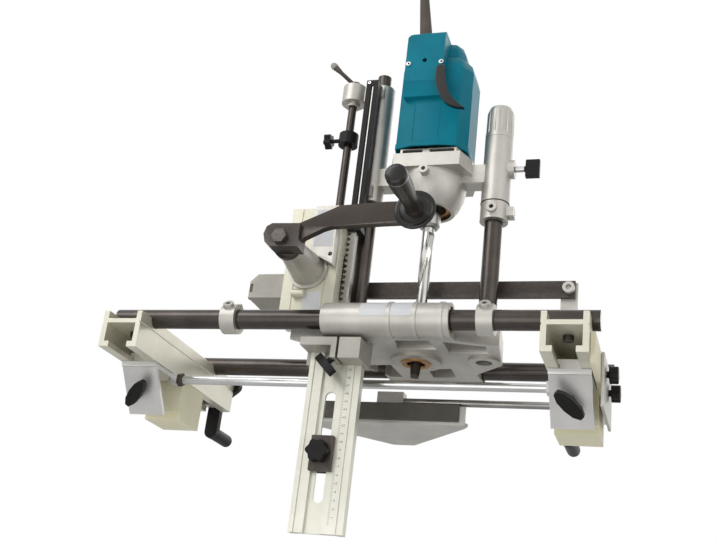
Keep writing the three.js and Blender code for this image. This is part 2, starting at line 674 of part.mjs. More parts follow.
// The carriage deck seen from above, from the left wing round to the right one.
function deckOutline() {
  const wing = barY - stop.outer / 2 - deck.ringGap;
  const reach = column.reach;
  return outlineOf([
    [-base.left, -barY], [-base.left, -wing], [-reach - deck.caseReach, -wing],
    [-reach - deck.caseReach, -wing + deck.caseStep], [-reach - deck.neckReach, -deck.neckFront],
    [-reach - deck.neckReach, deck.neckBack], [-deck.rearLeft, deck.rearFront], [-deck.rearLeft, barY],
    [deck.rearRight, barY], [deck.rearRight, deck.rearFront], [reach + deck.rightReach, deck.rightBack],
    [reach + deck.tipReach, -deck.tipFront], [base.right, -barY + deck.cornerDepth], [base.right, -barY],
  ]);
}

// The deck's pockets, each seen from above.
function frontPocketOutline() {
  const { left, right, front, back, leftSkew, rightSkew } = frontPocket;
  return [[-left, -front], [right, -front], [right + rightSkew, -back], [-left - leftSkew, -back]];
}

function rearPocketOutline() {
  const { left, right, front, back, skew } = rearPocket;
  return [[left, front], [right, front - skew], [right, back], [left, back]];
}

function leftPocketOutline() {
  const { left, front, right, frontSkew, back, backRight, backLeft, corner } = leftPocket;
  const x = -column.reach;
  return [
    [x + left, front], [x + right, front - frontSkew], [x + backRight, back], [x + backLeft, back],
    [x + left, corner],
  ];
}

function rightPocketOutline() {
  const { left, front, right, rightFront, rightBack, back, skew } = rightPocket;
  const x = column.reach;
  return [[x - left, -front], [x + right, -rightFront], [x + right - skew, -rightBack], [x - left, -back]];
}

function pockets() {
  const outlines = [frontPocketOutline(), leftPocketOutline(), rearPocketOutline(), rightPocketOutline()];
  const roof = base.bottom + base.thickness * pocketDepthShare;
  return outlines.map((points) => pushZ(outlineOf(points), [base.bottom - overrun, roof]));
}

// The deck with its bearing tubes, their ribs, and the bosses for the columns and the cutter's bush.
function deckBody() {
  const ribRadius = base.tube / 2 + rib.lift;
  const ribs = [];
  for (let i = 0; i < rib.count; i += 1) {
    const x = rib.first + i * rib.step;
    ribs.push(alongX(ribRadius, [x - rib.width / 2, x + rib.width / 2], -barY, barZ, sides.large));
  }
  const bossHeights = [base.bottom - columnBoss.drop, bossTop];
  const bosses = [-column.reach, column.reach].map((x) => (
    alongZ(columnBoss.diameter / 2, bossHeights, x, 0, sides.large)
  ));
  return join(
    pushZ(deckOutline(), [base.bottom, deckTop]),
    alongX(base.tube / 2, [-base.left, base.right], -barY, barZ, sides.large),
    alongX(base.rearTube / 2, [-deck.rearLeft, deck.rearRight], barY, barZ, sides.large),
    ...ribs,
    alongZ(cutterBoss.diameter / 2, [base.bottom - cutterBoss.drop, base.bottom + overrun], 0, 0, sides.large),
    ...bosses,
  );
}

// What is cut from the deck: the bearings, the columns' sockets with their drains, and two windows.
function deckBores() {
  const bushBore = barRadius + bush.wall + seat;
  const through = [0, bossTop + overrun];
  const sockets = [-1, 1].map((side) => join(
    alongZ(column.diameter / 2 + seat, [columnFoot, bossTop + overrun], side * column.reach, 0, sides.large),
    alongZ(columnBoss.drain / 2, [0, columnFoot + overrun], side * column.reach, 0, sides.medium),
  ));
  const gaugeBack = -gauge.front + gauge.depth;
  return [
    alongX(bushBore, [-base.left - overrun, base.right + overrun], -barY, barZ, sides.large),
    alongX(bushBore, [-deck.rearLeft - overrun, deck.rearRight + overrun], barY, barZ, sides.large),
    ...sockets,
    alongZ(guide.outer / 2 + seat, [0, deckTop + overrun], 0, 0, sides.large),
    slab([gaugeLeft - overrun, gaugeRight + overrun], [-gauge.front - overrun, gaugeBack + overrun], through),
    slab(
      [rackX - rackWindow.left, rackBack + rackWindow.right],
      [gearFace.front - rackWindow.front, gearBack + rackWindow.back],
      through,
    ),
  ];
}

function baseCasting() {
  return piece('base_casting', cut(deckBody(), ...deckBores(), ...pockets()), paint.casting);
}

// Bronze bushes: one on each bar and one about the cutter.
function barBush(name, [x0, x1], y) {
  const outer = alongX(barRadius + bush.wall, [x0 + bush.inset, x1 - bush.inset], y, barZ, sides.large);
  return piece(name, cut(outer, alongX(barBore, [x0, x1], y, barZ, sides.large)), paint.bronze);
}

function guideBush() {
  const bottom = base.bottom - cutterBoss.drop - bush.inset;
  return piece('guide_bush', lathe([
    [guide.inner / 2, bottom], [guide.outer / 2, bottom],
    [guide.outer / 2, deckTop], [guide.inner / 2, deckTop],
  ]), paint.bronze);
}

// The plunge columns. The left one is closed by a plug.
function columnBody(x, top) {
  return alongZ(column.diameter / 2, [columnFoot + seat, top], x, 0, sides.large);
}

function leftColumn() {
  const top = sleeveTop + column.leftOver;
  const plugRadius = (column.diameter / 2) * column.plugShare;
  const plug = alongZ(plugRadius, [top - overrun, top + column.plugHeight], -column.reach, 0, sides.medium);
  return piece('left_column', join(columnBody(-column.reach, top), plug), paint.bar);
}

function rightColumn() {
  return piece('right_column', columnBody(column.reach, towerTop - column.rightInset), paint.bar);
}

// The gear case: a hollow upright with a window for the sector in its right wall.
function gearCaseHollows() {
  const front = -gearCase.front;
  const cavityBottom = deckTop + gearCase.cavityRise;
  const heights = [deckTop - overrun, caseTop + overrun];
  const cavity = slab(
    [caseLeft + gearCase.wall, caseRight - gearCase.wall],
    [gearFace.front - gearCase.cavityGap, -gearCase.back - gearCase.wall],
    [cavityBottom, cavityBottom + gearCase.cavityHeight],
  );
  const window = slab(
    [caseRight - gearCase.wall - overrun, caseRight + overrun],
    [gearFace.front - gearCase.windowGap, gearBack + gearCase.windowBack],
    [shaftZ - gearCase.windowHalf, shaftZ + gearCase.windowHalf],
  );
  const grooves = [shaftX - gearCase.grooveLeft, shaftX + gearCase.grooveRight].map((x) => slab(
    [x, x + gearCase.grooveWidth], [front - overrun, front + gearCase.grooveDepth], heights,
  ));
  return [cavity, window, ...grooves];
}

// The small round knob on the case's front.
function caseKnobBody() {
  const middle = -gearCase.front - caseKnob.gap;
  const z = deckTop + caseKnob.rise;
  const neckBottom = z - caseKnob.neckDrop;
  return join(
    alongX(caseKnob.diameter / 2, [shaftX - caseKnob.left, shaftX + caseKnob.right], middle, z, sides.small),
    slab(
      [shaftX - caseKnob.neckLeft, shaftX - caseKnob.neckRight],
      [middle, -gearCase.front + overrun],
      [neckBottom, neckBottom + caseKnob.neckHeight],
    ),
  );
}

function gearCaseBody() {
  const front = -gearCase.front;
  const lugBottom = caseTop - stopLug.drop;
  const outer = slab([caseLeft, caseRight], [front, -gearCase.back], [deckTop, caseTop]);
  const lug = slab(
    [rodX - stopLug.side, rodX + stopLug.side],
    [-gearCase.back - overrun, stopLug.back],
    [lugBottom, lugBottom + stopLug.height],
  );
  const rodHole = alongZ(rod.diameter / 2 + overrun, [lugBottom - overrun, caseTop + overrun], rodX, rod.y);
  const shaftHole = alongY(shaftBore, [front - overrun, -gearCase.back + overrun], shaftX, shaftZ);
  const body = cut(join(outer, lug, caseKnobBody()), ...gearCaseHollows(), rodHole, shaftHole);
  return piece('gear_case', body, paint.extrusion);
}

// The pedestal: a tapered boss for the lever shaft and a gusset pad beside it.
function pedestalCasting() {
  const foot = gearCase.front + seat;
  const padFront = -gearCase.front - pedestal.padReach;
  const cone = lathe([
    [0, foot], [pedestal.foot / 2, foot], [pedestal.foot / 2, foot + pedestal.flange],
    [pedestal.base / 2, foot + pedestal.flange], [pedestal.tip / 2, pedestalTip], [0, pedestalTip],
  ]).rotate([90, 0, 0]).translate([shaftX, 0, shaftZ]);
  const padTop = caseTop - gusset.topInset;
  const web = pushY(outlineOf([
    [shaftX + gusset.left, shaftZ + gusset.leftRise], [shaftX + gusset.right, shaftZ + gusset.rightRise],
    [shaftX + gusset.right, padTop], [shaftX + gusset.left, padTop],
  ]), [padFront, -foot]);
  const bore = alongY(shaftBore, [-pedestalTip - overrun, -foot + overrun], shaftX, shaftZ);
  const holeX = shaftX + gusset.holeRight;
  const holeZ = shaftZ + gusset.holeRise;
  const holeFaces = [padFront - overrun, padFront + gusset.holeDepth];
  const hole = alongY(gusset.hole / 2, holeFaces, holeX, holeZ, sides.small);
  return piece('pedestal', cut(join(cone, web), bore, hole), paint.casting);
}

// A tooth's half width at its root and at its tip.
function toothHalves() {
  const half = (gear.toothShare * pitch) / 2;
  return { root: half + gear.dedendum * gear.draftShare, tip: half - gear.addendum * gear.draftShare };
}

// The gear sector, centred on the shaft. Angles grow from +X towards +Z. Its last points lie on the hub.
const hubShares = [1, 0.75, 0.5, 0.25, 0];
const hubSweepShare = 0.45;
function sectorOutline() {
  const { root, tip } = toothHalves();
  const rootRadius = pitchRadius - gear.dedendum;
  const tipRadius = pitchRadius + gear.addendum;
  const step = fullTurn / gear.teeth;
  const first = Math.ceil((gearFace.sectorFrom * degrees) / step);
  const last = Math.floor((gearFace.sectorTo * degrees) / step);
  const points = [];
  const place = (along, across, angle) => points.push([
    along * Math.cos(angle) - across * Math.sin(angle), along * Math.sin(angle) + across * Math.cos(angle),
  ]);
  for (let i = first; i <= last; i += 1) {
    place(rootRadius, -root, i * step);
    place(tipRadius, -tip, i * step);
    place(tipRadius, tip, i * step);
    place(rootRadius, root, i * step);
  }
  hubShares.forEach((share) => {
    const angle = (first + (last - first) * share) * step;
    place(shaft.diameter * shaft.hubShare, 0, angle + (share - 1 / 2) * fullTurn * hubSweepShare);
  });
  return outlineOf(points);
}

function leverShaft() {
  const faces = [gearFace.front, gearBack];
  const core = alongY(shaft.diameter / 2, [-leverHeadFront - shaft.over, -gearCase.back - seat], 0, 0);
  const disc = alongY(shaft.diameter * shaft.hubShare, faces, 0, 0);
  const bolt = [-leverHeadFront - shaft.boltHead, -leverHeadFront - seat];
  const head = alongY(shaft.diameter * shaft.boltShare, bolt, 0, 0, sides.hex);
  return piece('lever_shaft', join(core, disc, pushY(sectorOutline(), faces), head), paint.steel);
}

// The lever arm's blade from the front, about the shaft: out along its under side, round the eye and back.
function bladeOutline() {
  const { reach, rise, bend, eye, eyeCorner, eyeRoot, eyeRootDrop, eyeCrown } = lever;
  const scaled = (shares) => shares.map(([x, z]) => [x * bend, z * bend]);
  return outlineOf([
    ...scaled(bendUnderShares), [reach - eyeRoot, rise - eyeRootDrop], [reach, rise - eye],
    [reach + eyeCorner, rise - eyeCorner], [reach + eye, rise], [reach + eyeCorner, rise + eyeCorner],
    [reach, rise + eye], [reach - eyeCrown, rise + eye], ...scaled(bendOverShares),
  ]);
}

function leverArm() {
  const headBack = -pedestalTip - lever.hubThickness - overrun;
  const studFront = -leverFront - grip.length + grip.wall * 2;
  const headOutline = outlineOf(leverHeadShares.map(([x, z]) => [x * lever.head, z * lever.head]));
  const blade = pushY(bladeOutline(), [-leverFront, -leverFront + lever.thickness]);
  const head = pushY(headOutline, [-leverHeadFront, headBack]);
  const washer = alongY(lever.hub / 2, [headBack - overrun / 2, -pedestalTip - seat], 0, 0, sides.large);
  const stud = alongY(grip.stud / 2, [studFront, -leverFront + overrun], lever.reach, lever.rise, sides.small);
  const hole = alongY(shaft.diameter / 2 + seat, [-leverHeadFront - overrun, -pedestalTip], 0, 0);
  return piece('lever_arm', cut(join(blade, head, washer, stud), hole), paint.blackSteel);
}

// The turning grip with its dished flange, about its own axis. It points towards -Y.
function leverGrip() {
  const from = leverFront + seat;
  const to = from + grip.length;
  const bore = boreOf(grip.stud / 2, sides.large);
  const lip = (share) => from + grip.flangeThickness * share;
  const profile = [
    [bore, from], [grip.flange * gripShares.dish, from], [grip.flange / 2, lip(gripShares.lipFrom)],
    [grip.flange / 2 - grip.lip, lip(gripShares.lipTo)], [grip.flange * gripShares.dish, lip(1)],
    [grip.neck * gripShares.root, lip(gripShares.rootAt)], [grip.neck / 2, lip(gripShares.neckAt)],
    [grip.neck / 2, from + grip.length * gripShares.neckTo],
    [grip.end / 2, from + grip.length * gripShares.endFrom],
    [grip.end / 2, to - grip.endRound], [grip.end / 2 - grip.endInset, to], [0, to],
    [0, to - grip.wall], [bore, to - grip.wall],
  ];
  return piece('lever_grip', lathe(profile).rotate([90, 0, 0]), paint.black);
}

// The block that slides on the cross strip.
function feedBlockBody() {
  const chamferEnd = feedLeft + feedBlock.chamfer;
  const notchBottom = feedBottom + feedBlock.notchRise;
  const past = [feedFront - overrun, feedBack + overrun];
  const body = slab([feedLeft, feedRight], [feedFront, feedBack], [feedBottom, feedTop]);
  const corner = pushY(outlineOf([
    [feedLeft - overrun, feedTop - feedBlock.chamfer], [chamferEnd, feedTop + overrun],
    [feedLeft - overrun, feedTop + overrun],
  ]), past);
  const notch = slab(
    [feedLeft - overrun, feedLeft + feedBlock.notchDepth],
    past,
    [notchBottom, notchBottom + feedBlock.notchHeight],
  );
  const channel = slab(
    [feedLeft - overrun, feedRight + overrun],
    [strip.y - run, strip.y + strip.thickness + run],
    [strip.bottom - run, stripTop + run],
  );
  const lug = slab(
    [caseLeft, caseLeft + feedBlock.lug],
    [-gearCase.back + seat, feedFront + overrun],
    [feedBottom + feedBlock.lugInset, feedTop - feedBlock.lugInset],
  );
  return piece('feed_block', cut(join(body, lug), corner, notch, channel), paint.casting);
}

// The holder under the deck: it wraps the gauge rail and is split in front.
function railHolder() {
  const top = base.bottom - seat;
  const bottom = base.bottom - holder.drop;
  const front = -gauge.front - holder.front;
  const back = -gauge.front + holder.back;
  const noseFront = -gauge.front - holder.noseFront;
  const left = gaugeLeft - holder.wall;
  const cutRight = gaugeLeft + holder.cutInset;
  const slitLeft = cutRight + holder.slitInset;
  const through = [bottom - overrun, top + overrun];
  const body = pushX(outlineOf([
    [front, bottom], [back, bottom], [back, top], [noseFront, top], [noseFront, top - holder.nose],
    [front, top - holder.nose],
  ]), [left, gaugeRight + holder.wall]);
  const passageFaces = [-gauge.front - run, gaugeBackFace + run];
  const passage = slab([gaugeLeft - run, gaugeRight + run], passageFaces, through);
  const clearing = slab(
    [left - overrun, cutRight],
    [front - overrun, -gauge.front - run],
    [bottom - overrun, bottom + holder.cutHeight],
  );
  const slit = slab([slitLeft, slitLeft + holder.slit], [front - overrun, -gauge.front], through);
  return piece('rail_holder', cut(body, passage, clearing, slit, holderScrewBore()), paint.casting);
}

// The holder's wing screw leans down to the left.
const holderScrewPlace = {
  x: gaugeLeft + holderScrew.inset,
  y: -gauge.front - holderScrew.front,
  z: base.bottom - holderScrew.drop,
};

function holderScrewBore() {
  const { x, y, z } = holderScrewPlace;
  const bore = alongX(thumbBore, [-holderScrew.holeFrom, holderScrew.holeTo], 0, 0, sides.small);
  return bore.rotate([0, -halfTurn - holderScrew.lean, 0]).translate([x, y, z]);
}

function wingScrew(name, inner) {
  const start = thumb.standOff;
  const stud = alongZ(thumb.stud / 2, [-inner, start], 0, 0, sides.small);
  const head = pushZ(lens(thumb.length, thumb.width), [start - overrun, start + thumb.thickness]);
  return piece(name, join(stud, head), paint.black);
}

function holderWing() {
  const { x, y, z } = holderScrewPlace;
  const mesh = wingScrew('holder_wing', thumb.stud);
  mesh.rotation.z = holderScrew.turn * degrees;
  const lean = new THREE.Group();
  lean.add(mesh);
  lean.rotation.y = -(halfTurn / 2 + holderScrew.lean) * degrees;
  lean.position.set(x - holderScrew.step, y, z - holderScrew.step);
  return lean;
}

// The gauge rail: an upright with a recessed, slotted middle.
function gaugeSlot() {
  const radius = gauge.slotWidth / 2;
  const middle = slotLeft + radius;
  const through = [-gauge.front - overrun, gaugeBackFace + overrun];
  const [low, high] = [slotBottom + radius, slotTop - radius];
  return join(
    slab([slotLeft, slotRight], through, [low, high]),
    alongY(radius, through, middle, low),
    alongY(radius, through, middle, high),
  );
}

function gaugeRail() {
  const front = -gauge.front;
  const heights = [gauge.bottom - overrun, gauge.top + overrun];
  const recessLeft = gaugeLeft + gauge.recessInset;
  const body = slab([gaugeLeft, gaugeRight], [front, gaugeBackFace], [gauge.bottom, gauge.top]);
  const recessFaces = [front - overrun, front + gauge.recess];
  const recess = slab([recessLeft, recessLeft + gauge.recessWidth], recessFaces, heights);
  const grooves = [gaugeLeft + gauge.grooveLeft, gaugeRight - gauge.grooveRight].map((x) => slab(
    [x, x + gauge.grooveWidth], [front - overrun, front + gauge.grooveDepth], heights,
  ));
  const behind = slab(
    [gaugeLeft + gauge.backInset, gaugeRight - gauge.backInset],
    [gaugeBackFace - gauge.backDepth, gaugeBackFace + overrun],
    heights,
  );
  return piece('gauge_rail', cut(body, recess, ...grooves, behind, gaugeSlot()), paint.extrusion);
}

// The clamp on the gauge rail's slot, and the knob that tightens it.
const slotKnobX = (slotLeft + slotRight) / 2 - slotKnob.offset;
const slotKnobZ = slotClamp.middle + slotKnob.rise;

function slotClampBody() {
  const front = -gauge.front - seat;
  const back = gaugeBackFace + seat;
  const [left, right] = [slotLeft - slotClamp.left, slotRight + slotClamp.right];
  const around = (half) => [slotClamp.middle - half, slotClamp.middle + half];
  const plate = slab([left, right], [front - slotClamp.thickness, front], around(slotClamp.height / 2));
  const neckFaces = [front - overrun, back + overrun];
  const neck = slab([slotLeft + run, slotRight - run], neckFaces, around(slotClamp.neck / 2));
  const rear = slab([left, right], [back, back + slotClamp.plate], around(slotClamp.neck));
  const depth = [front - slotClamp.thickness - overrun, -gauge.front + gauge.depth / 2];
  const hole = alongY(thumbBore, depth, slotKnobX, slotKnobZ, sides.small);
  return piece('slot_clamp', cut(join(plate, neck, rear), hole), paint.blackSteel);
}

function slotKnobHead() {
  const head = pushY(lobed(slotKnob.diameter, slotKnob.lobes, slotKnob.lobeShare), [-slotKnob.thickness, 0]);
  const stud = alongY(thumb.stud / 2, [-overrun, slotClamp.thickness], 0, 0, sides.small);
  const mesh = piece('slot_knob', join(head, stud), paint.black);
  mesh.position.set(slotKnobX, -gauge.front - slotClamp.thickness - seat * 2, slotKnobZ);
  return mesh;
}

// The head casting, drawn at the top of its travel.
function flangeOutline(inset = 0) {
  const x = flange.halfWidth - inset;
  const y = flange.halfDepth - inset;
  const cornerX = x - flange.cornerWidth;
  const cornerY = y - flange.cornerDepth;
  return [
    [-cornerX, -y], [cornerX, -y], [x, -cornerY], [x, cornerY],
    [cornerX, y], [-cornerX, y], [-x, cornerY], [-x, -cornerY],
  ];
}

function ventRim() {
  const innerHeights = [flangeTop - overrun * 2, rimTop + overrun];
  const outer = pushZ(outlineOf(flangeOutline(rim.inset)), [flangeTop - overrun, rimTop]);
  const inner = pushZ(outlineOf(flangeOutline(rim.inset + rim.wall)), innerHeights);
  const heights = [flangeTop, rimTop - vent.sill];
  const far = flange.halfDepth + overrun;
  const spans = [[-vent.left, -vent.leftEnd], [vent.rightStart, vent.right]];
  const windows = spans.map((x) => slab(x, [-far, far], heights));
  const side = slab([-flange.halfWidth, flange.halfWidth], [-vent.sideHalf, vent.sideHalf], heights);
  return cut(outer, inner, ...windows, side);
}

function bellShell() {
  const mouth = bell.mouth / 2;
  const top = bell.top / 2;
  const at = (rShare, zShare) => [mouth + (top - mouth) * rShare, bellBottom + bell.depth * zShare];
  const outer = [
    ...bellShares.map(([r, z]) => at(r, z)), [top - bell.draft, bellBottom + bell.depth * bellNeckShare],
    [top, flange.bottom + overrun],
  ];
  const inner = outer.map(([r, z]) => [r - bell.wall, z]).reverse();
  return lathe([...outer, ...inner]);
}

// The depth rod's bracket on the sleeve.
function rodBracket() {
  const web = [rod.y - bracket.webFront, rod.y + bracket.webBack];
  const webHeights = [bracketBottom + bracket.webInset, bracketTop - bracket.webInset];
  const bossHeights = [bracketBottom - bracket.bossDrop, bracketTop - overrun];
  return join(
    alongZ(bracket.diameter / 2, [bracketBottom, bracketTop], rodX, rod.y, sides.medium),
    alongZ(bracket.boss / 2, bossHeights, rodX, rod.y, sides.medium),
    slab([rodX, -column.reach], web, webHeights),
  );
}

// The two pads on the sleeve that carry the rack and its cover.
function rackPads() {
  const low = sleeveBottom + rackPad.inset;
  const high = sleeveTop - rackPad.topInset - rackPad.height;
  const x = [-column.reach - rackPad.left, -column.reach + rackPad.right];
  return [low, high].map((z) => slab(x, [coverBack + seat, -rackPad.back], [z, z + rackPad.height]));
}

function headBody() {
  const { reach } = column;
  const insideRadius = bell.top / 2 - bell.wall - overrun;
  const inside = alongZ(insideRadius, [bellBottom - overrun, flange.bottom], 0, 0, sides.large);
  const armHeights = [flange.bottom - arm.drop, flangeTop - arm.inset];
  const arms = slab([-reach, reach], [-arm.halfDepth, arm.halfDepth], armHeights);
  const plate = pushZ(outlineOf(flangeOutline()), [flange.bottom, flangeTop]);
  const bossFaces = [-flange.halfDepth - bellBoss.reach, -bell.mouth / 2];
  return join(
    cut(join(plate, arms), inside), bellShell(), ventRim(),
    alongY(bellBoss.diameter / 2, bossFaces, 0, flange.bottom - bellBoss.drop, sides.small),
    alongZ(sleeve.diameter / 2, [sleeveBottom, sleeveTop], -reach, 0, sides.large),
    alongZ(tower.diameter / 2, [towerBottom, towerTop], reach, 0, sides.large),
    splitCollar(columnBore, stop.towerWidth).translate([reach, 0, towerBottom - stop.towerWidth]),
    alongX(towerBoss.diameter / 2, [reach, towerFace], 0, towerBossZ, sides.medium),
    rodBracket(), ...rackPads(),
  );
}

function headBores() {
  const { reach } = column;
  const bossFront = -flange.halfDepth - bellBoss.reach - overrun;
  const rodHole = [bracketBottom - bracket.bossDrop - overrun, rodTop + seat];
  return [
    alongZ(columnBore, [0, sleeveTop + overrun], -reach, 0, sides.large),
    alongZ(columnBore, [0, towerTop + overrun], reach, 0, sides.large),
    alongZ(bearing.outer / 2 + seat, [bearingBottom - seat, flangeTop + overrun], 0, 0, sides.large),
    alongZ(spindle.diameter / 2 + overrun, [flange.bottom - overrun, flangeTop], 0, 0, sides.medium),
    alongZ(rod.diameter / 2 + seat, rodHole, rodX, rod.y, sides.medium),
    alongX(thumbBore, [reach, reach + tower.diameter], 0, towerBossZ, sides.small),
    alongY(bellBoss.hole / 2, [bossFront, -flange.halfDepth], 0, flange.bottom - bellBoss.drop, sides.small),
  ];
}

function headCasting() {
  return piece('head_casting', cut(headBody(), ...headBores()), paint.casting);
}

// The fluted cap on the tower, and the wing screw in the tower's side.
function towerCap() {
  const radius = tower.diameter / 2;
  const bottom = towerTop + seat;
  const body = lathe([
    [0, bottom], [radius, bottom], [radius, bottom + cap.skirt], [radius - cap.taper, capTop - cap.crown],
    [radius - cap.crownInset, capTop], [0, capTop],
  ]);
  const heights = [bottom + cap.fluteFrom, capTop + overrun];
  const reach = radius + cap.fluteOut;
  const flutes = [];
  for (let i = 0; i < cap.flutes; i += 1) {
    const angle = (i / cap.flutes) * fullTurn;
    const [x, y] = [reach * Math.cos(angle), reach * Math.sin(angle)];
    flutes.push(alongZ(cap.fluteRadius, heights, x, y, sides.flute));
  }
  const hollow = alongZ(columnBore + seat, [bottom - overrun, capTop - cap.wall], 0, 0, sides.large);
  const mesh = piece('tower_cap', cut(body, ...flutes, hollow), paint.casting);
  mesh.position.x = column.reach;
  return mesh;
}

function towerWing() {
  const { length, width, height } = towerHandle;
  const start = thumb.standOff;
  const head = slab([start, start + length], [-width / 2, width / 2], [-height / 2, height / 2]);
  const stud = alongX(thumb.stud / 2, [-towerBoss.studDepth, start + overrun], 0, 0, sides.small);
  const mesh = piece('tower_wing', join(head, stud), paint.black);
  mesh.position.set(towerFace + seat, 0, towerBossZ);
  return mesh;
}

// The motor's skin, drawn from its outline at each height. It can be grown to cut its seat in the switch box.
const motorOutline = motorShares.map(([x, y]) => [x * motor.halfWidth, y * motor.halfDepth]);

function motorSkin(grow, from) {
  const scaled = (share) => motorOutline.map(([x, y]) => [
    x * share + Math.sign(x) * grow, y * share + Math.sign(y) * grow,
  ]);
  const rise = motorTop - motorShoulder;
  return loft(crownShares.map(([share, up], i) => ({
    outline: scaled(share),
    z: i === 0 ? from : motorShoulder + rise * up + Math.max(grow, 0),
  })));
}

// The housing's inside, and how far it lies from the motor's axis at its nearest.
const motorInside = motorOutline.map(([x, y]) => [
  x - Math.sign(x) * motor.wall, y - Math.sign(y) * motor.wall,
]);

function motorReach() {
  return Math.min(...motorInside.map(([x0, y0], i) => {
    const [x1, y1] = motorInside[(i + 1) % motorInside.length];
    return (x0 * y1 - x1 * y0) / Math.hypot(x1 - x0, y1 - y0);
  }));
}

function motorHousing() {
  const cavity = loft([
    { outline: motorInside, z: motorBottom - overrun },
    { outline: motorInside, z: motorShoulder - motor.wall },
  ]);
  const journalHeights = [motorShoulder - motor.wall * 2, spindleTop + overrun];
  const journal = alongZ(boreOf(spindle.journal / 2, sides.medium), journalHeights, 0, 0);
  return piece('motor_housing', cut(motorSkin(0, motorBottom), cavity, journal), paint.teal);
}

// The switch box, with its rounded top edge, its hollow and the holes in its front and top.
function boxSkin() {
  const front = -box.front;
  const body = pushX(outlineOf([
    [front + box.lip, boxBottom], [-box.back, boxBottom], [-box.back, boxTop], [front + box.round, boxTop],
    [front, boxTop - box.round], [front, boxStep], [front + box.toe, boxStep - box.toe],
  ]), [-box.left, box.right]);
  const corner = pushY(outlineOf([
    [-box.left - overrun, boxTop - box.cornerDrop], [-box.left + box.cornerWidth, boxTop + overrun],
    [-box.left - overrun, boxTop + overrun],
  ]), [front - overrun, -box.back + overrun]);
  return cut(body, corner);
}

function boxHollows() {
  const through = [-box.front - overrun, -box.front + box.wall + overrun];
  const roof = [boxTop - box.wall - overrun, boxTop + overrun];
  return [
    slab(
      [-box.left + box.wall, box.right - box.wall],
      [-box.front + box.wall, 0],
      [boxStep + box.wall, boxTop - box.wall],
    ),
    alongY(boxHole.diameter / 2, through, box.right - boxHole.fromRight, boxTop - boxHole.drop, sides.small),
    alongY(switchPivot.hole / 2, through, pivotX, pivotZ, sides.small),
    alongZ(boot.bore / 2, roof, bootX, boot.y, sides.small),
  ];
}

function switchBox() {
  const screwFaces = [-box.front - boxScrew.height, -box.front + overrun];
  const screwPlaces = [-box.left + boxScrew.leftInset, box.right - boxScrew.rightInset];
  const screws = screwPlaces.map((x) => (
    alongY(boxScrew.diameter / 2, screwFaces, x, boxTop - boxScrew.drop, sides.small)
  ));
  const body = cut(join(boxSkin(), ...screws), ...boxHollows(), motorSkin(seat, motorBottom - overrun));
  return piece('switch_box', body, paint.teal);
}

// The cord's strain relief boot, empty here, leaning a little to the left.
function cordBoot() {
  const bore = boot.bore / 2;
  const root = boot.root / 2;
  const tip = boot.tip / 2;
  const collarTop = boot.flangeHeight;
  const body = lathe([
    [bore, 0], [root + boot.flange, 0], [root + boot.flange, collarTop], [root, collarTop + boot.shoulder],
    [tip, boot.length - boot.tipDrop], [tip - boot.tipInset, boot.length], [bore, boot.length],
  ], sides.medium);
  const mesh = piece('cord_boot', body, paint.rubber);
  mesh.rotation.y = -boot.lean * degrees;
  mesh.position.set(bootX, boot.y, boxTop + seat + Math.sin(boot.lean * degrees) * (root + boot.flange));
  return mesh;
}

// The curved switch lever, about its pivot.
function switchLever() {
  const shape = new THREE.Shape();
  const scaled = (shares) => shares.map((share) => share * switchPivot.size);
  shape.moveTo(...scaled(switchStartShares));
  switchShares.forEach(([bend, end]) => shape.quadraticCurveTo(...scaled([...bend, ...end])));
  shape.closePath();
  const body = pushY(shape, [-switchPivot.thickness, 0]);
  const pin = alongY(switchPivot.pin / 2, [-overrun, switchPivot.pinLength], 0, 0, sides.small);
  const mesh = piece('switch_lever', join(body, pin), paint.black);
  mesh.position.set(pivotX, -box.front - seat - boxScrew.height, pivotZ);
  return mesh;
}

// The spindle with its collet nut, fan, rotor and commutator.
function spindleShaft() {
  const radius = spindle.diameter / 2;
  const nut = spindle.nut / 2;
  const fan = rotor.fan / 2;
  const core = rotor.diameter / 2;
  const fanTop = fanBottom + rotor.fanThickness;
  const commutator = radius + rotor.commutatorLift;
  const commutatorBottom = rotorTop + rotor.commutatorRise;
  const commutatorTop = commutatorBottom + rotor.commutatorHeight;
  const journal = spindle.journal / 2;
  const body = lathe([
    [0, nutBottom], [nut - spindle.nutBevel, nutBottom], [nut, nutBottom + spindle.nutToe], [nut, nutTop],
    [radius, nutTop], [radius, fanBottom], [fan, fanBottom], [fan, fanTop], [radius, fanTop],
    [radius, rotorBottom], [core, rotorBottom], [core, rotorTop], [radius, rotorTop],
    [commutator, commutatorBottom], [commutator, commutatorTop], [journal, commutatorTop + rotor.neck],
    [journal, spindleTop], [0, spindleTop],
  ], sides.medium);
  const socket = alongZ(bit.shank / 2 + seat, [0, socketTop + seat], 0, 0, sides.medium);
  return piece('spindle', cut(body, socket), paint.steel);
}

// The cutter: a plain shank above two milled flutes.
function mortisingBit() {
  const shankBottom = bit.tip + bit.cutterLength;
  const heights = [bit.tip - overrun, shankBottom - bit.flute];
  const far = bit.cutter / 2 + overrun;
  const near = bit.flute / 4;
  const shank = alongZ(bit.shank / 2, [shankBottom, socketTop], 0, 0, sides.medium);
  const cutter = alongZ(bit.cutter / 2, [bit.tip, shankBottom + overrun], 0, 0, sides.medium);
  const flutes = [slab([near, far], [-far, -near], heights), slab([-far, -near], [near, far], heights)];
  return piece('mortising_bit', join(cut(cutter, ...flutes), shank), paint.chrome);
}

function motorStator() {
  const body = alongZ(motorReach() - seat, [statorBottom, statorTop], 0, 0, sides.large);
  const bore = alongZ(stator.bore / 2, [statorBottom - overrun, statorTop + overrun], 0, 0, sides.large);
  return piece('stator', cut(body, bore), paint.iron);
}

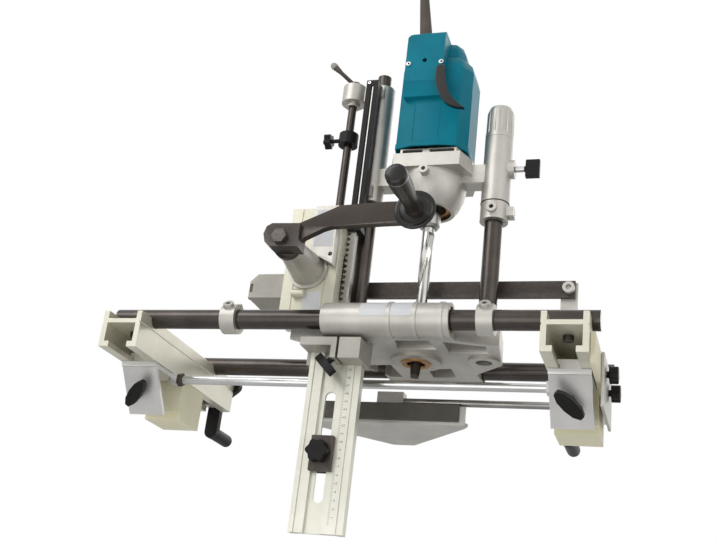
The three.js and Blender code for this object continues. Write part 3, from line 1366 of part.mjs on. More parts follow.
function lowerBearing() {
  const top = bearingBottom + bearing.height;
  const outer = alongZ(bearing.outer / 2, [bearingBottom, top], 0, 0, sides.large);
  const bore = alongZ(boreOf(spindle.diameter / 2, sides.medium), [0, top + overrun], 0, 0);
  return piece('lower_bearing', cut(outer, bore), paint.steel);
}

// The toothed rack, and the black channel that covers its back.
function rackBar() {
  const { root, tip } = toothHalves();
  const face = rackX + gear.dedendum;
  const crest = rackX - gear.addendum;
  const upperTeeth = Math.ceil(plunge / pitch) + sparePitches;
  const first = Math.min(Math.floor((rackTop - shaftZ) / pitch) - 1, upperTeeth);
  const last = Math.ceil(-rack.drop / pitch) + 1;
  const points = [[rackBack, rackBottom], [rackBack, rackTop], [face, rackTop]];
  for (let i = first; i >= last; i -= 1) {
    const z = shaftZ + (i - 1 / 2) * pitch;
    points.push([face, z + root], [crest, z + tip], [crest, z - tip], [face, z - root]);
  }
  points.push([face, rackBottom]);
  return piece('rack_bar', pushY(outlineOf(points), [gearFace.front, gearBack]), paint.steel);
}

function rackCover() {
  const left = rackX - gear.addendum + overrun;
  const right = rackBack + cover.right;
  const front = gearFace.front - cover.wall - seat;
  const shoeTop = coverBottom + cover.shoe;
  const grooveLeft = rackX + cover.grooveX;
  const body = slab([left, right], [front, coverBack], [shoeTop, coverTop]);
  const shoe = slab(
    [left, right + cover.shoeLip], [front - cover.shoeLip, coverBack], [coverBottom, shoeTop + overrun],
  );
  const inside = slab(
    [left - overrun, rackBack + seat],
    [gearFace.front - seat, gearBack + seat],
    [coverBottom - overrun, coverTop + overrun],
  );
  const groove = slab(
    [grooveLeft, grooveLeft + cover.grooveWidth],
    [front - overrun * 2, front + cover.grooveDepth],
    [shoeTop + overrun, coverTop - cover.grooveInset],
  );
  return piece('rack_cover', cut(join(body, shoe), inside, groove), paint.black);
}

// The depth stop: rod, collar, star screw and the clamp lever on top.
function depthRod() {
  return piece('depth_rod', alongZ(rod.diameter / 2, [rodBottom, rodTop], rodX, rod.y), paint.blackSteel);
}

function depthCollar() {
  const body = alongZ(collar.diameter / 2, [0, collar.height], 0, 0, sides.large);
  const bore = alongZ(rodBore, [-overrun, collar.height + overrun], 0, 0, sides.medium);
  const starBore = boreOf(star.stud / 2, sides.small);
  const hole = alongX(starBore, [-collar.diameter, 0], 0, collar.height / 2, sides.small);
  const mesh = piece('depth_collar', cut(body, bore, hole), paint.blackSteel);
  mesh.position.set(rodX, rod.y, collarBottom);
  return mesh;
}

function depthKnob() {
  const outside = collar.diameter / 2 + star.gap;
  const head = pushX(lobed(star.diameter, star.lobes, star.lobeShare), [-outside - star.thickness, -outside]);
  const stud = alongX(star.stud / 2, [-outside - overrun, -rod.diameter / 2 - overrun], 0, 0, sides.small);
  const mesh = piece('depth_knob', join(head, stud), paint.black);
  mesh.position.set(rodX, rod.y, collarBottom + collar.height / 2);
  return mesh;
}

function clampLeverBody() {
  const { length } = clampLever;
  const stemRadius = clampLever.stem / 2;
  const tipRadius = clampLever.tip / 2;
  const hub = alongZ(clampLever.hub / 2, [0, clampLever.hubHeight], 0, 0, sides.medium);
  const stem = lathe([
    [0, 0], [stemRadius, 0], [stemRadius, length * clampLeverShares.stem],
    [tipRadius, length * clampLeverShares.tip], [tipRadius - clampLever.tipRound, length], [0, length],
  ], sides.small).rotate([0, -clampLever.rise, 0]).translate([0, 0, clampLever.hubHeight / 2]);
  const floor = slab([-length, length], [-length, length], [-length, 0]);
  const mesh = piece('clamp_lever', cut(join(hub, stem), floor), paint.blackSteel);
  mesh.position.set(rodX, rod.y, bracketTop + seat);
  return mesh;
}

// A front jaw: a leg under the rail with a tee in its slot, and a plate that slopes back as it falls.
const jawSlope = jaw.slope * degrees;
const jawFall = { y: Math.sin(jawSlope), z: -Math.cos(jawSlope) };
const jawMiddle = { y: -jaw.front + (jawFall.y * jaw.plate) / 2, z: (jawFall.z * jaw.plate) / 2 };

function jawPlate() {
  const [top, front] = [-seat, -jaw.front];
  const [acrossY, acrossZ] = [-jawFall.z * jaw.thickness, jawFall.y * jaw.thickness];
  const down = (length) => [front + jawFall.y * length, top + jawFall.z * length];
  const behind = ([y, z]) => [y + acrossY, z + acrossZ];
  return pushX(outlineOf([
    [front, top], [front + acrossY + jaw.root, top],
    behind(down(jaw.knee)), behind(down(jaw.plate)), down(jaw.plate),
  ]), [-jaw.width / 2, jaw.width / 2]);
}

// What carries the plate: its leg, and the neck and tee that hang in the rail's slot.
function jawLeg() {
  const half = jaw.width / 2;
  const slot = rail.slot / 2 - seat;
  const teeFront = -jaw.front + jaw.teeInset;
  const tee = [teeFront, teeFront + jaw.teeLength];
  const ledge = rail.lip + seat;
  return join(
    slab([-half, half], [-jaw.front + jaw.legInset, -jaw.front + jaw.leg], [-seat - jaw.legThickness, -seat]),
    slab([-slot, slot], tee, [-seat - overrun, ledge + overrun]),
    slab([-jaw.tee / 2, jaw.tee / 2], tee, [ledge, ledge + jaw.teeHeight]),
  );
}

// The lug for the tie rod, on the side that faces the other jaw, and its hole.
function tieLug(side) {
  const inner = jaw.width / 2;
  const ends = [side * (inner - overrun), side * (inner + tie.lug)].sort((a, b) => a - b);
  return slab(ends, [tie.y - tie.lugHalf, tie.y + tie.lugHalf], [tie.z - tie.lugDrop, -seat]);
}

function tieHole(side) {
  const ends = [side * (jaw.width / 2 - tie.inset), side * jaw.width].sort((a, b) => a - b);
  return alongX(tie.diameter / 2 + seat, ends, tie.y, tie.z);
}

function jawBracket(name, x, side) {
  const reach = jaw.plate / 3;
  const screwHole = alongZ(thumbBore, [-reach, reach], 0, 0, sides.small)
    .rotate([halfTurn / 2 + jaw.slope, 0, 0]).translate([0, jawMiddle.y, jawMiddle.z]);
  const body = cut(join(jawPlate(), jawLeg(), tieLug(side)), tieHole(side), screwHole);
  const mesh = piece(name, body, paint.casting);
  mesh.position.x = x;
  return mesh;
}

function jawWing(name, x, turn) {
  const mesh = wingScrew(name, jaw.thickness + thumb.reach);
  mesh.rotation.z = turn * degrees;
  const slope = new THREE.Group();
  slope.add(mesh);
  slope.rotation.x = Math.PI / 2 + jawSlope;
  slope.position.set(x, jawMiddle.y, jawMiddle.z);
  return slope;
}

function tieRod() {
  const left = -rail.left + jaw.width / 2 - tie.inset + seat;
  const right = rail.right - jaw.width / 2 + tie.inset - seat;
  return piece('jaw_tie_rod', alongX(tie.diameter / 2, [left, right], tie.y, tie.z), paint.chrome);
}

// A rear jaw block, with the nut that rides the crank screw inside the rail.
function jawBlockBody() {
  const half = block.width / 2;
  const slot = rail.slot / 2 - seat;
  const nutHalf = railInnerHalf - block.nutGap;
  const nut = [block.nutFront, block.nutFront + block.nutDepth];
  const ledge = rail.lip + seat;
  return join(
    slab([-half, half], [block.front, block.front + block.depth], [-block.height, -seat]),
    slab([-slot, slot], nut, [-overrun, ledge + overrun]),
    slab([-nutHalf, nutHalf], nut, [ledge, webBottom - overrun]),
  );
}

function jawBlock(name, x, holdsSteady) {
  const half = block.width / 2;
  const back = block.front + block.depth;
  const under = -block.height - overrun;
  const rebate = slab(
    [-half - overrun, half + overrun],
    [block.front - overrun, block.front + block.rebate],
    [under, -block.height + block.rebate],
  );
  const bore = alongY(boreOf(screw.diameter / 2, sides.medium), [0, back], 0, screw.z);
  const pocket = slab(
    [-half + block.wall, half - block.wall],
    [block.front + block.wall, back + overrun],
    [-block.height + block.pocketFloor, -block.height * block.pocketShare],
  );
  const rodHole = alongX(steady.rod / 2 + seat, [-half - overrun, half * block.rodShare], steady.y, steady.z);
  const body = cut(jawBlockBody(), rebate, bore, pocket);
  const mesh = piece(name, holdsSteady ? cut(body, rodHole) : body, paint.cream);
  mesh.position.x = x;
  return mesh;
}

// A straight bar with round ends, from the shaft to a point at a distance and angle from straight down.
function crankBar(length, angle) {
  const half = crank.width / 2;
  const faces = [0, crank.thickness];
  const straight = slab([-half, half], faces, [-length, 0]);
  return join(straight, alongY(half, faces, 0, -length), alongY(half, faces, 0, 0)).rotate([0, angle, 0]);
}

function crankPlace(angle) {
  return [-Math.sin(angle * degrees) * crank.length, -Math.cos(angle * degrees) * crank.length];
}

function crankArm(name, x, angle, stubAngle) {
  const [gripLeft, gripRise] = crankPlace(angle);
  const start = railRear + seat;
  const stud = [crank.thickness - overrun, crank.thickness + crank.gripLength - crank.studInset];
  const arms = join(crankBar(crank.length, angle), crankBar(crank.stub, stubAngle));
  const thread = alongY(screw.diameter / 2, [screw.front - start, crank.thickness / 2], 0, 0);
  const gripStud = alongY(crank.gripStud / 2, stud, gripLeft, gripRise, sides.small);
  const mesh = piece(name, join(arms, thread, gripStud), paint.black);
  mesh.position.set(x, start, screw.z);
  return mesh;
}

function crankGrip(name, x, angle) {
  const [gripLeft, gripRise] = crankPlace(angle);
  const radius = crank.grip / 2;
  const bore = boreOf(crank.gripStud / 2, sides.medium);
  const shoulder = crank.gripLength - crank.gripWall;
  const body = lathe([
    [bore, 0], [radius - crank.bevel, 0], [radius, crank.bevelLength], [radius, shoulder],
    [radius - crank.gripWall, crank.gripLength], [0, crank.gripLength], [0, shoulder], [bore, shoulder],
  ], sides.medium).rotate([-halfTurn / 2, 0, 0]);
  const mesh = piece(name, body, paint.black);
  mesh.position.set(x + gripLeft, railRear + seat * 2 + crank.thickness, screw.z + gripRise);
  return mesh;
}

// The steady: a rod in the right jaw block, a foot that slides on it and its pad.
const fenceFront = steady.y - steady.front;

function steadyRod() {
  const left = steady.blockX - steady.block / 2 + steady.rodInset;
  const right = rail.right - block.width * block.rodEndShare;
  return piece('steady_rod', alongX(steady.rod / 2, [left, right], steady.y, steady.z), paint.chrome);
}

function steadyPlate() {
  const { left, right, blockX, bottom, plate } = steady;
  const tailBack = fenceFront + steadyTail.back;
  return pushZ(outlineOf([
    [left, fenceFront], [right, fenceFront], [right + steadyTail.out, fenceFront + steadyTail.outBack],
    [right - steadyTail.inset, fenceFront + steadyTail.insetBack], [blockX + steadyTail.right, tailBack],
    [blockX - steadyTail.left, tailBack], [left, fenceFront + steadyTail.leftBack],
  ]), [bottom, bottom + plate]);
}

function steadyFoot() {
  const half = steady.block / 2;
  const { blockX, bottom } = steady;
  const blockFaces = [fenceFront, steady.y + steady.back];
  const boreRange = [blockX - half - overrun, blockX + half + overrun];
  const fenceBack = fenceFront + steady.fence;
  const body = join(
    slab([steady.left, steady.right], [fenceFront, fenceBack], [bottom, pad.top - steady.padGap]),
    slab([blockX - half, blockX + half], blockFaces, [bottom + steady.footRise, steady.z + steady.topRise]),
    slab([blockX - half / 2, blockX + half / 2], blockFaces, [bottom, bottom + steady.stem]),
    steadyPlate(),
  );
  const bore = alongX(boreOf(steady.rod / 2, sides.medium), boreRange, steady.y, steady.z);
  return piece('steady_foot', cut(body, bore), paint.casting);
}

function steadyPad() {
  const back = fenceFront - seat;
  const body = slab([pad.left, pad.right], [back - pad.thickness, back], [pad.bottom, pad.top]);
  return piece('steady_pad', body, paint.black);
}

// The assembly. Groups follow what moves together, each at its rest place.
function group(name, ...children) {
  const result = new THREE.Group();
  result.name = name;
  result.add(...children.flat());
  return result;
}

const frame = group('frame',
  clampRail('left_rail', -rail.left), clampRail('right_rail', rail.right),
  guideBar('front_bar', -barY), guideBar('rear_bar', barY),
  feedStrip(), stripFoot(), sidePlates(), sideKnobs(),
  barStop('x_stop_left', stopPlace.left), barStop('x_stop_right', stopPlace.right));

const jaws = group('jaws',
  jawBracket('left_jaw_bracket', -rail.left, 1), jawBracket('right_jaw_bracket', rail.right, -1), tieRod(),
  jawWing('left_jaw_wing', -rail.left, jaw.leftTurn), jawWing('right_jaw_wing', rail.right, jaw.rightTurn),
  jawBlock('left_jaw_block', -rail.left, false), jawBlock('right_jaw_block', rail.right, true),
  crankArm('left_crank', -rail.left, crank.leftTurn, crank.leftStub),
  crankArm('right_crank', rail.right, crank.rightTurn, crank.rightStub),
  crankGrip('left_crank_grip', -rail.left, crank.leftTurn),
  crankGrip('right_crank_grip', rail.right, crank.rightTurn),
  steadyRod(), steadyFoot(), steadyPad());

const carriage = group('carriage',
  baseCasting(), barBush('front_bush', [-base.left, base.right], -barY),
  barBush('rear_bush', [-deck.rearLeft, deck.rearRight], barY), guideBush(), leftColumn(), rightColumn(),
  gearCaseBody(), pedestalCasting(), feedBlockBody(), railHolder(), holderWing(),
  gaugeRail(), slotClampBody(), slotKnobHead());

const leverGroup = group('lever', leverShaft(), leverArm());
leverGroup.position.set(shaftX, 0, shaftZ);

const gripMesh = leverGrip();
gripMesh.position.set(gripX, 0, gripZ);

const head = group('head',
  headCasting(), towerCap(), towerWing(), motorHousing(), switchBox(), cordBoot(), switchLever(),
  spindleShaft(), mortisingBit(), motorStator(), lowerBearing(), rackBar(), rackCover(),
  depthRod(), depthCollar(), depthKnob(), clampLeverBody());

export default group('mortising_machine', frame, jaws, carriage, leverGroup, gripMesh, head);
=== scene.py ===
"""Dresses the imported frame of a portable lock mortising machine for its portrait.

The frame gives every solid its place and its body. Each sub-assembly below is a class that
carries frame solids over with softened edges and a finish, and adds the detail that shows.
"""

import json
import logging
import math
from dataclasses import dataclass
from enum import Enum
from typing import Iterable, Sequence

import bmesh
import bpy
from mathutils import Matrix, Vector


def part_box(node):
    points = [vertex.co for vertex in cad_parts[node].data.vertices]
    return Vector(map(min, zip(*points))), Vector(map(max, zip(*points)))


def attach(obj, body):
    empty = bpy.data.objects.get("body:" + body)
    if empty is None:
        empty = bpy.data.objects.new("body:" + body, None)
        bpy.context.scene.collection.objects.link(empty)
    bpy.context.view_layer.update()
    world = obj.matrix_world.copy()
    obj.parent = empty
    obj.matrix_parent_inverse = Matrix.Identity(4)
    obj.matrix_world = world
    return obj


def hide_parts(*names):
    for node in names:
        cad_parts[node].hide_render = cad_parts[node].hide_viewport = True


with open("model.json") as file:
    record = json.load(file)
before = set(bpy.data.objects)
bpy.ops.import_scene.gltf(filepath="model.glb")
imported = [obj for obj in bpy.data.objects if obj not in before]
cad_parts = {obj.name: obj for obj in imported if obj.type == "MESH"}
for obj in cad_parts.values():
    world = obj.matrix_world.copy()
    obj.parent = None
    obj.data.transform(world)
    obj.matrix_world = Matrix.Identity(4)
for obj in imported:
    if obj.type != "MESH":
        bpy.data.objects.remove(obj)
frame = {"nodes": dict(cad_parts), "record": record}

log = logging.getLogger("mortising_machine")

Colour = tuple[float, float, float]
Point = tuple[float, float, float]
Profile = Sequence[tuple[float, float]]

MM = 0.001
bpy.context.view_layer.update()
ORIGIN: Point = (0.0, 0.0, 0.0)
UP: Point = (0.0, 0.0, 1.0)
MERGE_DISTANCE = 0.002 * MM
SPIN_TOLERANCE = 0.001 * MM
FLAT_ANGLE = 0.4
SHARP_ANGLE = 32.0
PLAIN_WHITE = (1.0, 1.0, 1.0, 1.0)


class Axis(Enum):
    """The frame's axes, as unit vectors."""

    X = Vector((1.0, 0.0, 0.0))
    Y = Vector((0.0, 1.0, 0.0))
    Z = Vector((0.0, 0.0, 1.0))


class Grain(Enum):
    """How a finish's fine pattern lies: even, or drawn out along one axis."""

    EVEN = (1.0, 1.0, 1.0)
    ALONG_X = (0.03, 1.0, 1.0)
    ALONG_Y = (1.0, 0.03, 1.0)
    ALONG_Z = (1.0, 1.0, 0.03)


@dataclass(frozen=True)
class Finish:
    """A surface finish: its two close colours, its gloss, its grain and its wear.

    Args:
        name: the material's name.
        colour: main base colour, linear.
        shade: the colour that the main one drifts to in soft patches.
        roughness: middle roughness.
        spread: how far roughness drifts either way.
        metallic: 0 or 1.
        grain: direction of the fine pattern.
        grain_size: size of the fine pattern, in metres.
        grain_depth: height of the fine pattern, in metres.
        wear: how much of the sharp edges shows wear, 0 to 1.
        wear_colour: the colour under worn edges.
        coat: clear coat weight.
        specular: how strongly its surface mirrors at a steep angle, 0 to 1.
    """

    name: str
    colour: Colour
    shade: Colour
    roughness: float
    spread: float = 0.06
    metallic: float = 0.0
    grain: Grain = Grain.EVEN
    grain_size: float = 0.0012
    grain_depth: float = 0.00002
    wear: float = 0.0
    wear_colour: Colour = (0.5, 0.5, 0.5)
    coat: float = 0.0
    specular: float = 0.5


class Finishes:
    """The finishes of this machine, named for what wears them."""

    CASTING = Finish("cast_aluminium", (0.55, 0.53, 0.485), (0.46, 0.44, 0.40), 0.44, 0.08, 0.75,
                     grain_size=0.0009, grain_depth=0.00005, wear=0.25, wear_colour=(0.82, 0.81, 0.78))
    EXTRUSION_Y = Finish("drawn_rail_metal", (0.74, 0.715, 0.60), (0.68, 0.65, 0.53), 0.38, 0.06, 0.55,
                         Grain.ALONG_Y, 0.0008, 0.000015, 0.2, (0.86, 0.85, 0.78))
    EXTRUSION_Z = Finish("drawn_upright_metal", (0.70, 0.69, 0.60), (0.62, 0.61, 0.52), 0.36, 0.06, 0.6,
                         Grain.ALONG_Z, 0.0008, 0.000015, 0.2, (0.85, 0.84, 0.78))
    GEAR_CASE = Finish("cream_anodised", (0.72, 0.70, 0.57), (0.66, 0.635, 0.50), 0.42, 0.06, 0.35,
                       Grain.ALONG_Z, 0.0008, 0.000015, 0.15, (0.85, 0.84, 0.76))
    # A darker copy of the casting finish, as painted shade: it makes the rail holder and feed block look
    # shaded.
    SHADE_PAINTED_CASTING = Finish("painted_shade_casting", (0.40, 0.38, 0.34), (0.32, 0.305, 0.27), 0.52, 0.08, 0.5,
                    grain_size=0.0010, grain_depth=0.00006, wear=0.3, wear_colour=(0.62, 0.60, 0.54))
    JAW_PLATE = Finish("satin_plate", (0.69, 0.68, 0.66), (0.61, 0.60, 0.58), 0.38, 0.07, 0.7,
                       Grain.ALONG_X, 0.0009, 0.00002, 0.25, (0.84, 0.83, 0.81))
    BAR = Finish("dark_guide_bar", (0.090, 0.076, 0.068), (0.062, 0.053, 0.047), 0.24, 0.06, 0.85,
                 Grain.ALONG_X, 0.0006, 0.000006)
    COLUMN = Finish("dark_column", (0.085, 0.073, 0.064), (0.058, 0.050, 0.044), 0.24, 0.06, 0.85,
                    Grain.ALONG_Z, 0.0006, 0.000006)
    CHROME_X = Finish("chromed_rod", (0.64, 0.65, 0.64), (0.56, 0.57, 0.56), 0.14, 0.04, 1.0,
                      Grain.ALONG_X, 0.0005, 0.000003)
    GREY_ROD = Finish("grey_rod", (0.34, 0.33, 0.31), (0.26, 0.25, 0.24), 0.20, 0.05, 1.0,
                      Grain.ALONG_X, 0.0005, 0.000004)
    CHROME_Z = Finish("bright_cutter", (0.54, 0.53, 0.50), (0.42, 0.41, 0.39), 0.20, 0.05, 1.0,
                      Grain.ALONG_Z, 0.0005, 0.000004)
    STEEL = Finish("machined_steel", (0.46, 0.45, 0.43), (0.36, 0.35, 0.33), 0.32, 0.08, 1.0,
                   grain_size=0.0008, grain_depth=0.00001)
    SCREW = Finish("bright_screw", (0.66, 0.66, 0.65), (0.56, 0.56, 0.55), 0.26, 0.06, 1.0,
                   grain_size=0.0006, grain_depth=0.000008)
    LEVER = Finish("blackened_steel", (0.042, 0.033, 0.026), (0.028, 0.022, 0.018), 0.42, 0.08, 0.6,
                   grain_size=0.0014, grain_depth=0.00003, wear=0.35, wear_colour=(0.26, 0.23, 0.21))
    MOULDED = Finish("moulded_black", (0.012, 0.011, 0.010), (0.008, 0.007, 0.007), 0.42, 0.07,
                     grain_size=0.0010, grain_depth=0.00004, wear=0.12, wear_colour=(0.08, 0.08, 0.08),
                     specular=0.18)
    GLOSS_BLACK = Finish("gloss_black", (0.008, 0.007, 0.006), (0.013, 0.011, 0.010), 0.20, 0.05,
                         grain_size=0.0016, grain_depth=0.000008, coat=0.15, specular=0.3)
    GRIP = Finish("grip_brown", (0.016, 0.013, 0.010), (0.028, 0.022, 0.018), 0.30, 0.07,
                  grain_size=0.0011, grain_depth=0.00003, coat=0.15, specular=0.4)
    CREAM = Finish("cream_paint", (0.80, 0.76, 0.55), (0.74, 0.70, 0.49), 0.50, 0.06,
                   grain_size=0.0018, grain_depth=0.00003, wear=0.12, wear_colour=(0.86, 0.84, 0.72),
                   specular=0.3)
    PAD = Finish("worn_rubber_pad", (0.105, 0.098, 0.080), (0.070, 0.066, 0.055), 0.62, 0.08,
                 grain_size=0.0015, grain_depth=0.00006, wear=0.2, wear_colour=(0.2, 0.19, 0.16),
                 specular=0.3)
    BRONZE = Finish("turned_bronze", (0.44, 0.25, 0.10), (0.36, 0.20, 0.08), 0.34, 0.07, 0.9,
                    grain_size=0.0008, grain_depth=0.00001)
    TEAL = Finish("teal_moulding", (0.003, 0.225, 0.310), (0.003, 0.190, 0.265), 0.44, 0.06,
                  grain_size=0.0011, grain_depth=0.00003, wear=0.08, wear_colour=(0.04, 0.36, 0.44),
                  specular=0.12)
    BOOT = Finish("boot_rubber", (0.120, 0.100, 0.082), (0.085, 0.072, 0.060), 0.66, 0.07,
                  grain_size=0.0012, grain_depth=0.00005, specular=0.3)
    IRON = Finish("dark_laminations", (0.10, 0.095, 0.09), (0.07, 0.066, 0.063), 0.55, 0.08, 0.6,
                  Grain.ALONG_X, 0.0007, 0.00003)
    PALE_TIP = Finish("pale_tip", (0.42, 0.41, 0.36), (0.34, 0.33, 0.29), 0.42, 0.06,
                      grain_size=0.001, grain_depth=0.00002)
    LABEL = Finish("bare_label", (0.78, 0.79, 0.80), (0.72, 0.73, 0.75), 0.40, 0.05,
                   grain_size=0.003, grain_depth=0.00001)
    INK = Finish("scale_ink", (0.045, 0.043, 0.042), (0.06, 0.058, 0.055), 0.60, 0.05,
                 grain_size=0.002, grain_depth=0.000005)
    # Near-black for painted shade: the discs in screw sockets, the ring at the tower's foot and the sheets
    # behind the vent windows.
    SHADOW_GAP = Finish("painted_shade_black", (0.012, 0.012, 0.012), (0.02, 0.02, 0.02), 0.60, 0.05,
                        grain_size=0.001, grain_depth=0.00001, specular=0.1)


class MaterialShop:
    """Builds each finish once, out of three shared shader node groups."""

    GRAIN_DETAIL = 3.0
    GRAIN_ROUGHNESS = 0.6
    GRAIN_BAND = (0.3, 0.7)
    PATCH_DETAIL = 4.0
    PATCH_SCALE = 28.0
    PATCH_BAND = (0.32, 0.68)
    EDGE_BAND = (0.52, 0.62)
    BREAK_DETAIL = 5.0
    BREAK_SCALE = 180.0
    WEAR_GAIN = 2.0
    LOWEST_ROUGHNESS = 0.02
    COAT_ROUGHNESS = 0.12
    BUMP_STRENGTH = 1.0
    MIX_LOW, MIX_HIGH, MIX_RESULT = 6, 7, 2

    def __init__(self) -> None:
        """Makes the shared groups and an empty shelf of materials."""
        self.grain = self._grain_group()
        self.drift = self._drift_group()
        self.wear = self._wear_group()
        self.shelf: dict[str, bpy.types.Material] = {}

    @staticmethod
    def _new_group(
        name: str, inputs: Iterable[tuple[str, str]], outputs: Iterable[str],
    ) -> bpy.types.NodeTree:
        """Starts a shader group.

        Args:
            name: the group's name.
            inputs: pairs of socket name and socket type.
            outputs: names of float outputs.

        Returns:
            The new group, with its input and output nodes.
        """
        tree = bpy.data.node_groups.new(name, "ShaderNodeTree")
        for socket, kind in inputs:
            tree.interface.new_socket(socket, in_out="INPUT", socket_type=kind)
        for socket in outputs:
            tree.interface.new_socket(socket, in_out="OUTPUT", socket_type="NodeSocketFloat")
        tree.nodes.new("NodeGroupInput").name = "inlet"
        tree.nodes.new("NodeGroupOutput").name = "outlet"
        return tree

    @staticmethod
    def _noise(
        tree: bpy.types.NodeTree, detail: float, band: tuple[float, float],
    ) -> tuple[bpy.types.Node, bpy.types.Node]:
        """Places a noise, and a range that spreads its middle band over 0 to 1.

        Args:
            tree: the group's tree.
            detail: the noise's detail.
            band: the lowest and highest value of the band.

        Returns:
            The noise, and the range.
        """
        noise = tree.nodes.new("ShaderNodeTexNoise")
        noise.inputs["Detail"].default_value = detail
        spread = tree.nodes.new("ShaderNodeMapRange")
        spread.inputs["From Min"].default_value, spread.inputs["From Max"].default_value = band
        tree.links.new(noise.outputs["Fac"], spread.inputs["Value"])
        return noise, spread

    def _grain_group(self) -> bpy.types.NodeTree:
        """Fine grain, drawn out along an axis by its stretch.

        Returns:
            A group that puts out a height and a softer mask.
        """
        tree = self._new_group(
            "fine_grain",
            [("Stretch", "NodeSocketVector"), ("Scale", "NodeSocketFloat")],
            ["Height", "Mask"],
        )
        inlet, outlet = tree.nodes["inlet"], tree.nodes["outlet"]
        coordinates = tree.nodes.new("ShaderNodeTexCoord")
        stretched = tree.nodes.new("ShaderNodeVectorMath")
        stretched.operation = "MULTIPLY"
        noise, spread = self._noise(tree, self.GRAIN_DETAIL, self.GRAIN_BAND)
        noise.inputs["Roughness"].default_value = self.GRAIN_ROUGHNESS
        link = tree.links.new
        link(coordinates.outputs["Object"], stretched.inputs[0])
        link(inlet.outputs["Stretch"], stretched.inputs[1])
        link(stretched.outputs["Vector"], noise.inputs["Vector"])
        link(inlet.outputs["Scale"], noise.inputs["Scale"])
        link(noise.outputs["Fac"], outlet.inputs["Height"])
        link(spread.outputs["Result"], outlet.inputs["Mask"])
        return tree

    def _drift_group(self) -> bpy.types.NodeTree:
        """Soft patches, a few centimetres across, for colour and gloss.

        Returns:
            A group that puts out one mask.
        """
        tree = self._new_group("soft_patches", [("Scale", "NodeSocketFloat")], ["Mask"])
        inlet, outlet = tree.nodes["inlet"], tree.nodes["outlet"]
        coordinates = tree.nodes.new("ShaderNodeTexCoord")
        noise, spread = self._noise(tree, self.PATCH_DETAIL, self.PATCH_BAND)
        link = tree.links.new
        link(coordinates.outputs["Object"], noise.inputs["Vector"])
        link(inlet.outputs["Scale"], noise.inputs["Scale"])
        link(spread.outputs["Result"], outlet.inputs["Mask"])
        return tree

    def _wear_group(self) -> bpy.types.NodeTree:
        """Broken wear along convex edges.

        Returns:
            A group that puts out one mask.
        """
        tree = self._new_group("edge_wear", [("Amount", "NodeSocketFloat")], ["Mask"])
        inlet, outlet = tree.nodes["inlet"], tree.nodes["outlet"]
        surface = tree.nodes.new("ShaderNodeNewGeometry")
        edges = tree.nodes.new("ShaderNodeMapRange")
        edges.inputs["From Min"].default_value, edges.inputs["From Max"].default_value = self.EDGE_BAND
        coordinates = tree.nodes.new("ShaderNodeTexCoord")
        breaks = tree.nodes.new("ShaderNodeTexNoise")
        breaks.inputs["Scale"].default_value = self.BREAK_SCALE
        breaks.inputs["Detail"].default_value = self.BREAK_DETAIL
        broken = tree.nodes.new("ShaderNodeMath")
        broken.operation = "MULTIPLY"
        scaled = tree.nodes.new("ShaderNodeMath")
        scaled.operation = "MULTIPLY"
        scaled.use_clamp = True
        link = tree.links.new
        link(surface.outputs["Pointiness"], edges.inputs["Value"])
        link(coordinates.outputs["Object"], breaks.inputs["Vector"])
        link(edges.outputs["Result"], broken.inputs[0])
        link(breaks.outputs["Fac"], broken.inputs[1])
        link(broken.outputs["Value"], scaled.inputs[0])
        link(inlet.outputs["Amount"], scaled.inputs[1])
        link(scaled.outputs["Value"], outlet.inputs["Mask"])
        return tree

    @staticmethod
    def _place_group(
        tree: bpy.types.NodeTree, group: bpy.types.NodeTree, **values: object,
    ) -> bpy.types.Node:
        """Places a shared group in a material.

        Args:
            tree: the material's tree.
            group: the shared group.
            values: the group's inputs in this material.

        Returns:
            The group's node.
        """
        node = tree.nodes.new("ShaderNodeGroup")
        node.node_tree = group
        for socket, value in values.items():
            node.inputs[socket].default_value = value
        return node

    @classmethod
    def _mix(
        cls, tree: bpy.types.NodeTree, mask: bpy.types.NodeSocket, low: object, high: Colour,
    ) -> bpy.types.NodeSocket:
        """Mixes two colours by a mask.

        Args:
            tree: the material's tree.
            mask: the mask's socket.
            low: a colour, or the socket of one, where the mask is 0.
            high: the colour where the mask is 1.

        Returns:
            The mixed colour's socket.
        """
        node = tree.nodes.new("ShaderNodeMix")
        node.data_type = "RGBA"
        tree.links.new(mask, node.inputs["Factor"])
        low_socket, high_socket = node.inputs[cls.MIX_LOW], node.inputs[cls.MIX_HIGH]
        if isinstance(low, bpy.types.NodeSocket):
            tree.links.new(low, low_socket)
        else:
            low_socket.default_value = (*low, 1.0)
        high_socket.default_value = (*high, 1.0)
        return node.outputs[cls.MIX_RESULT]

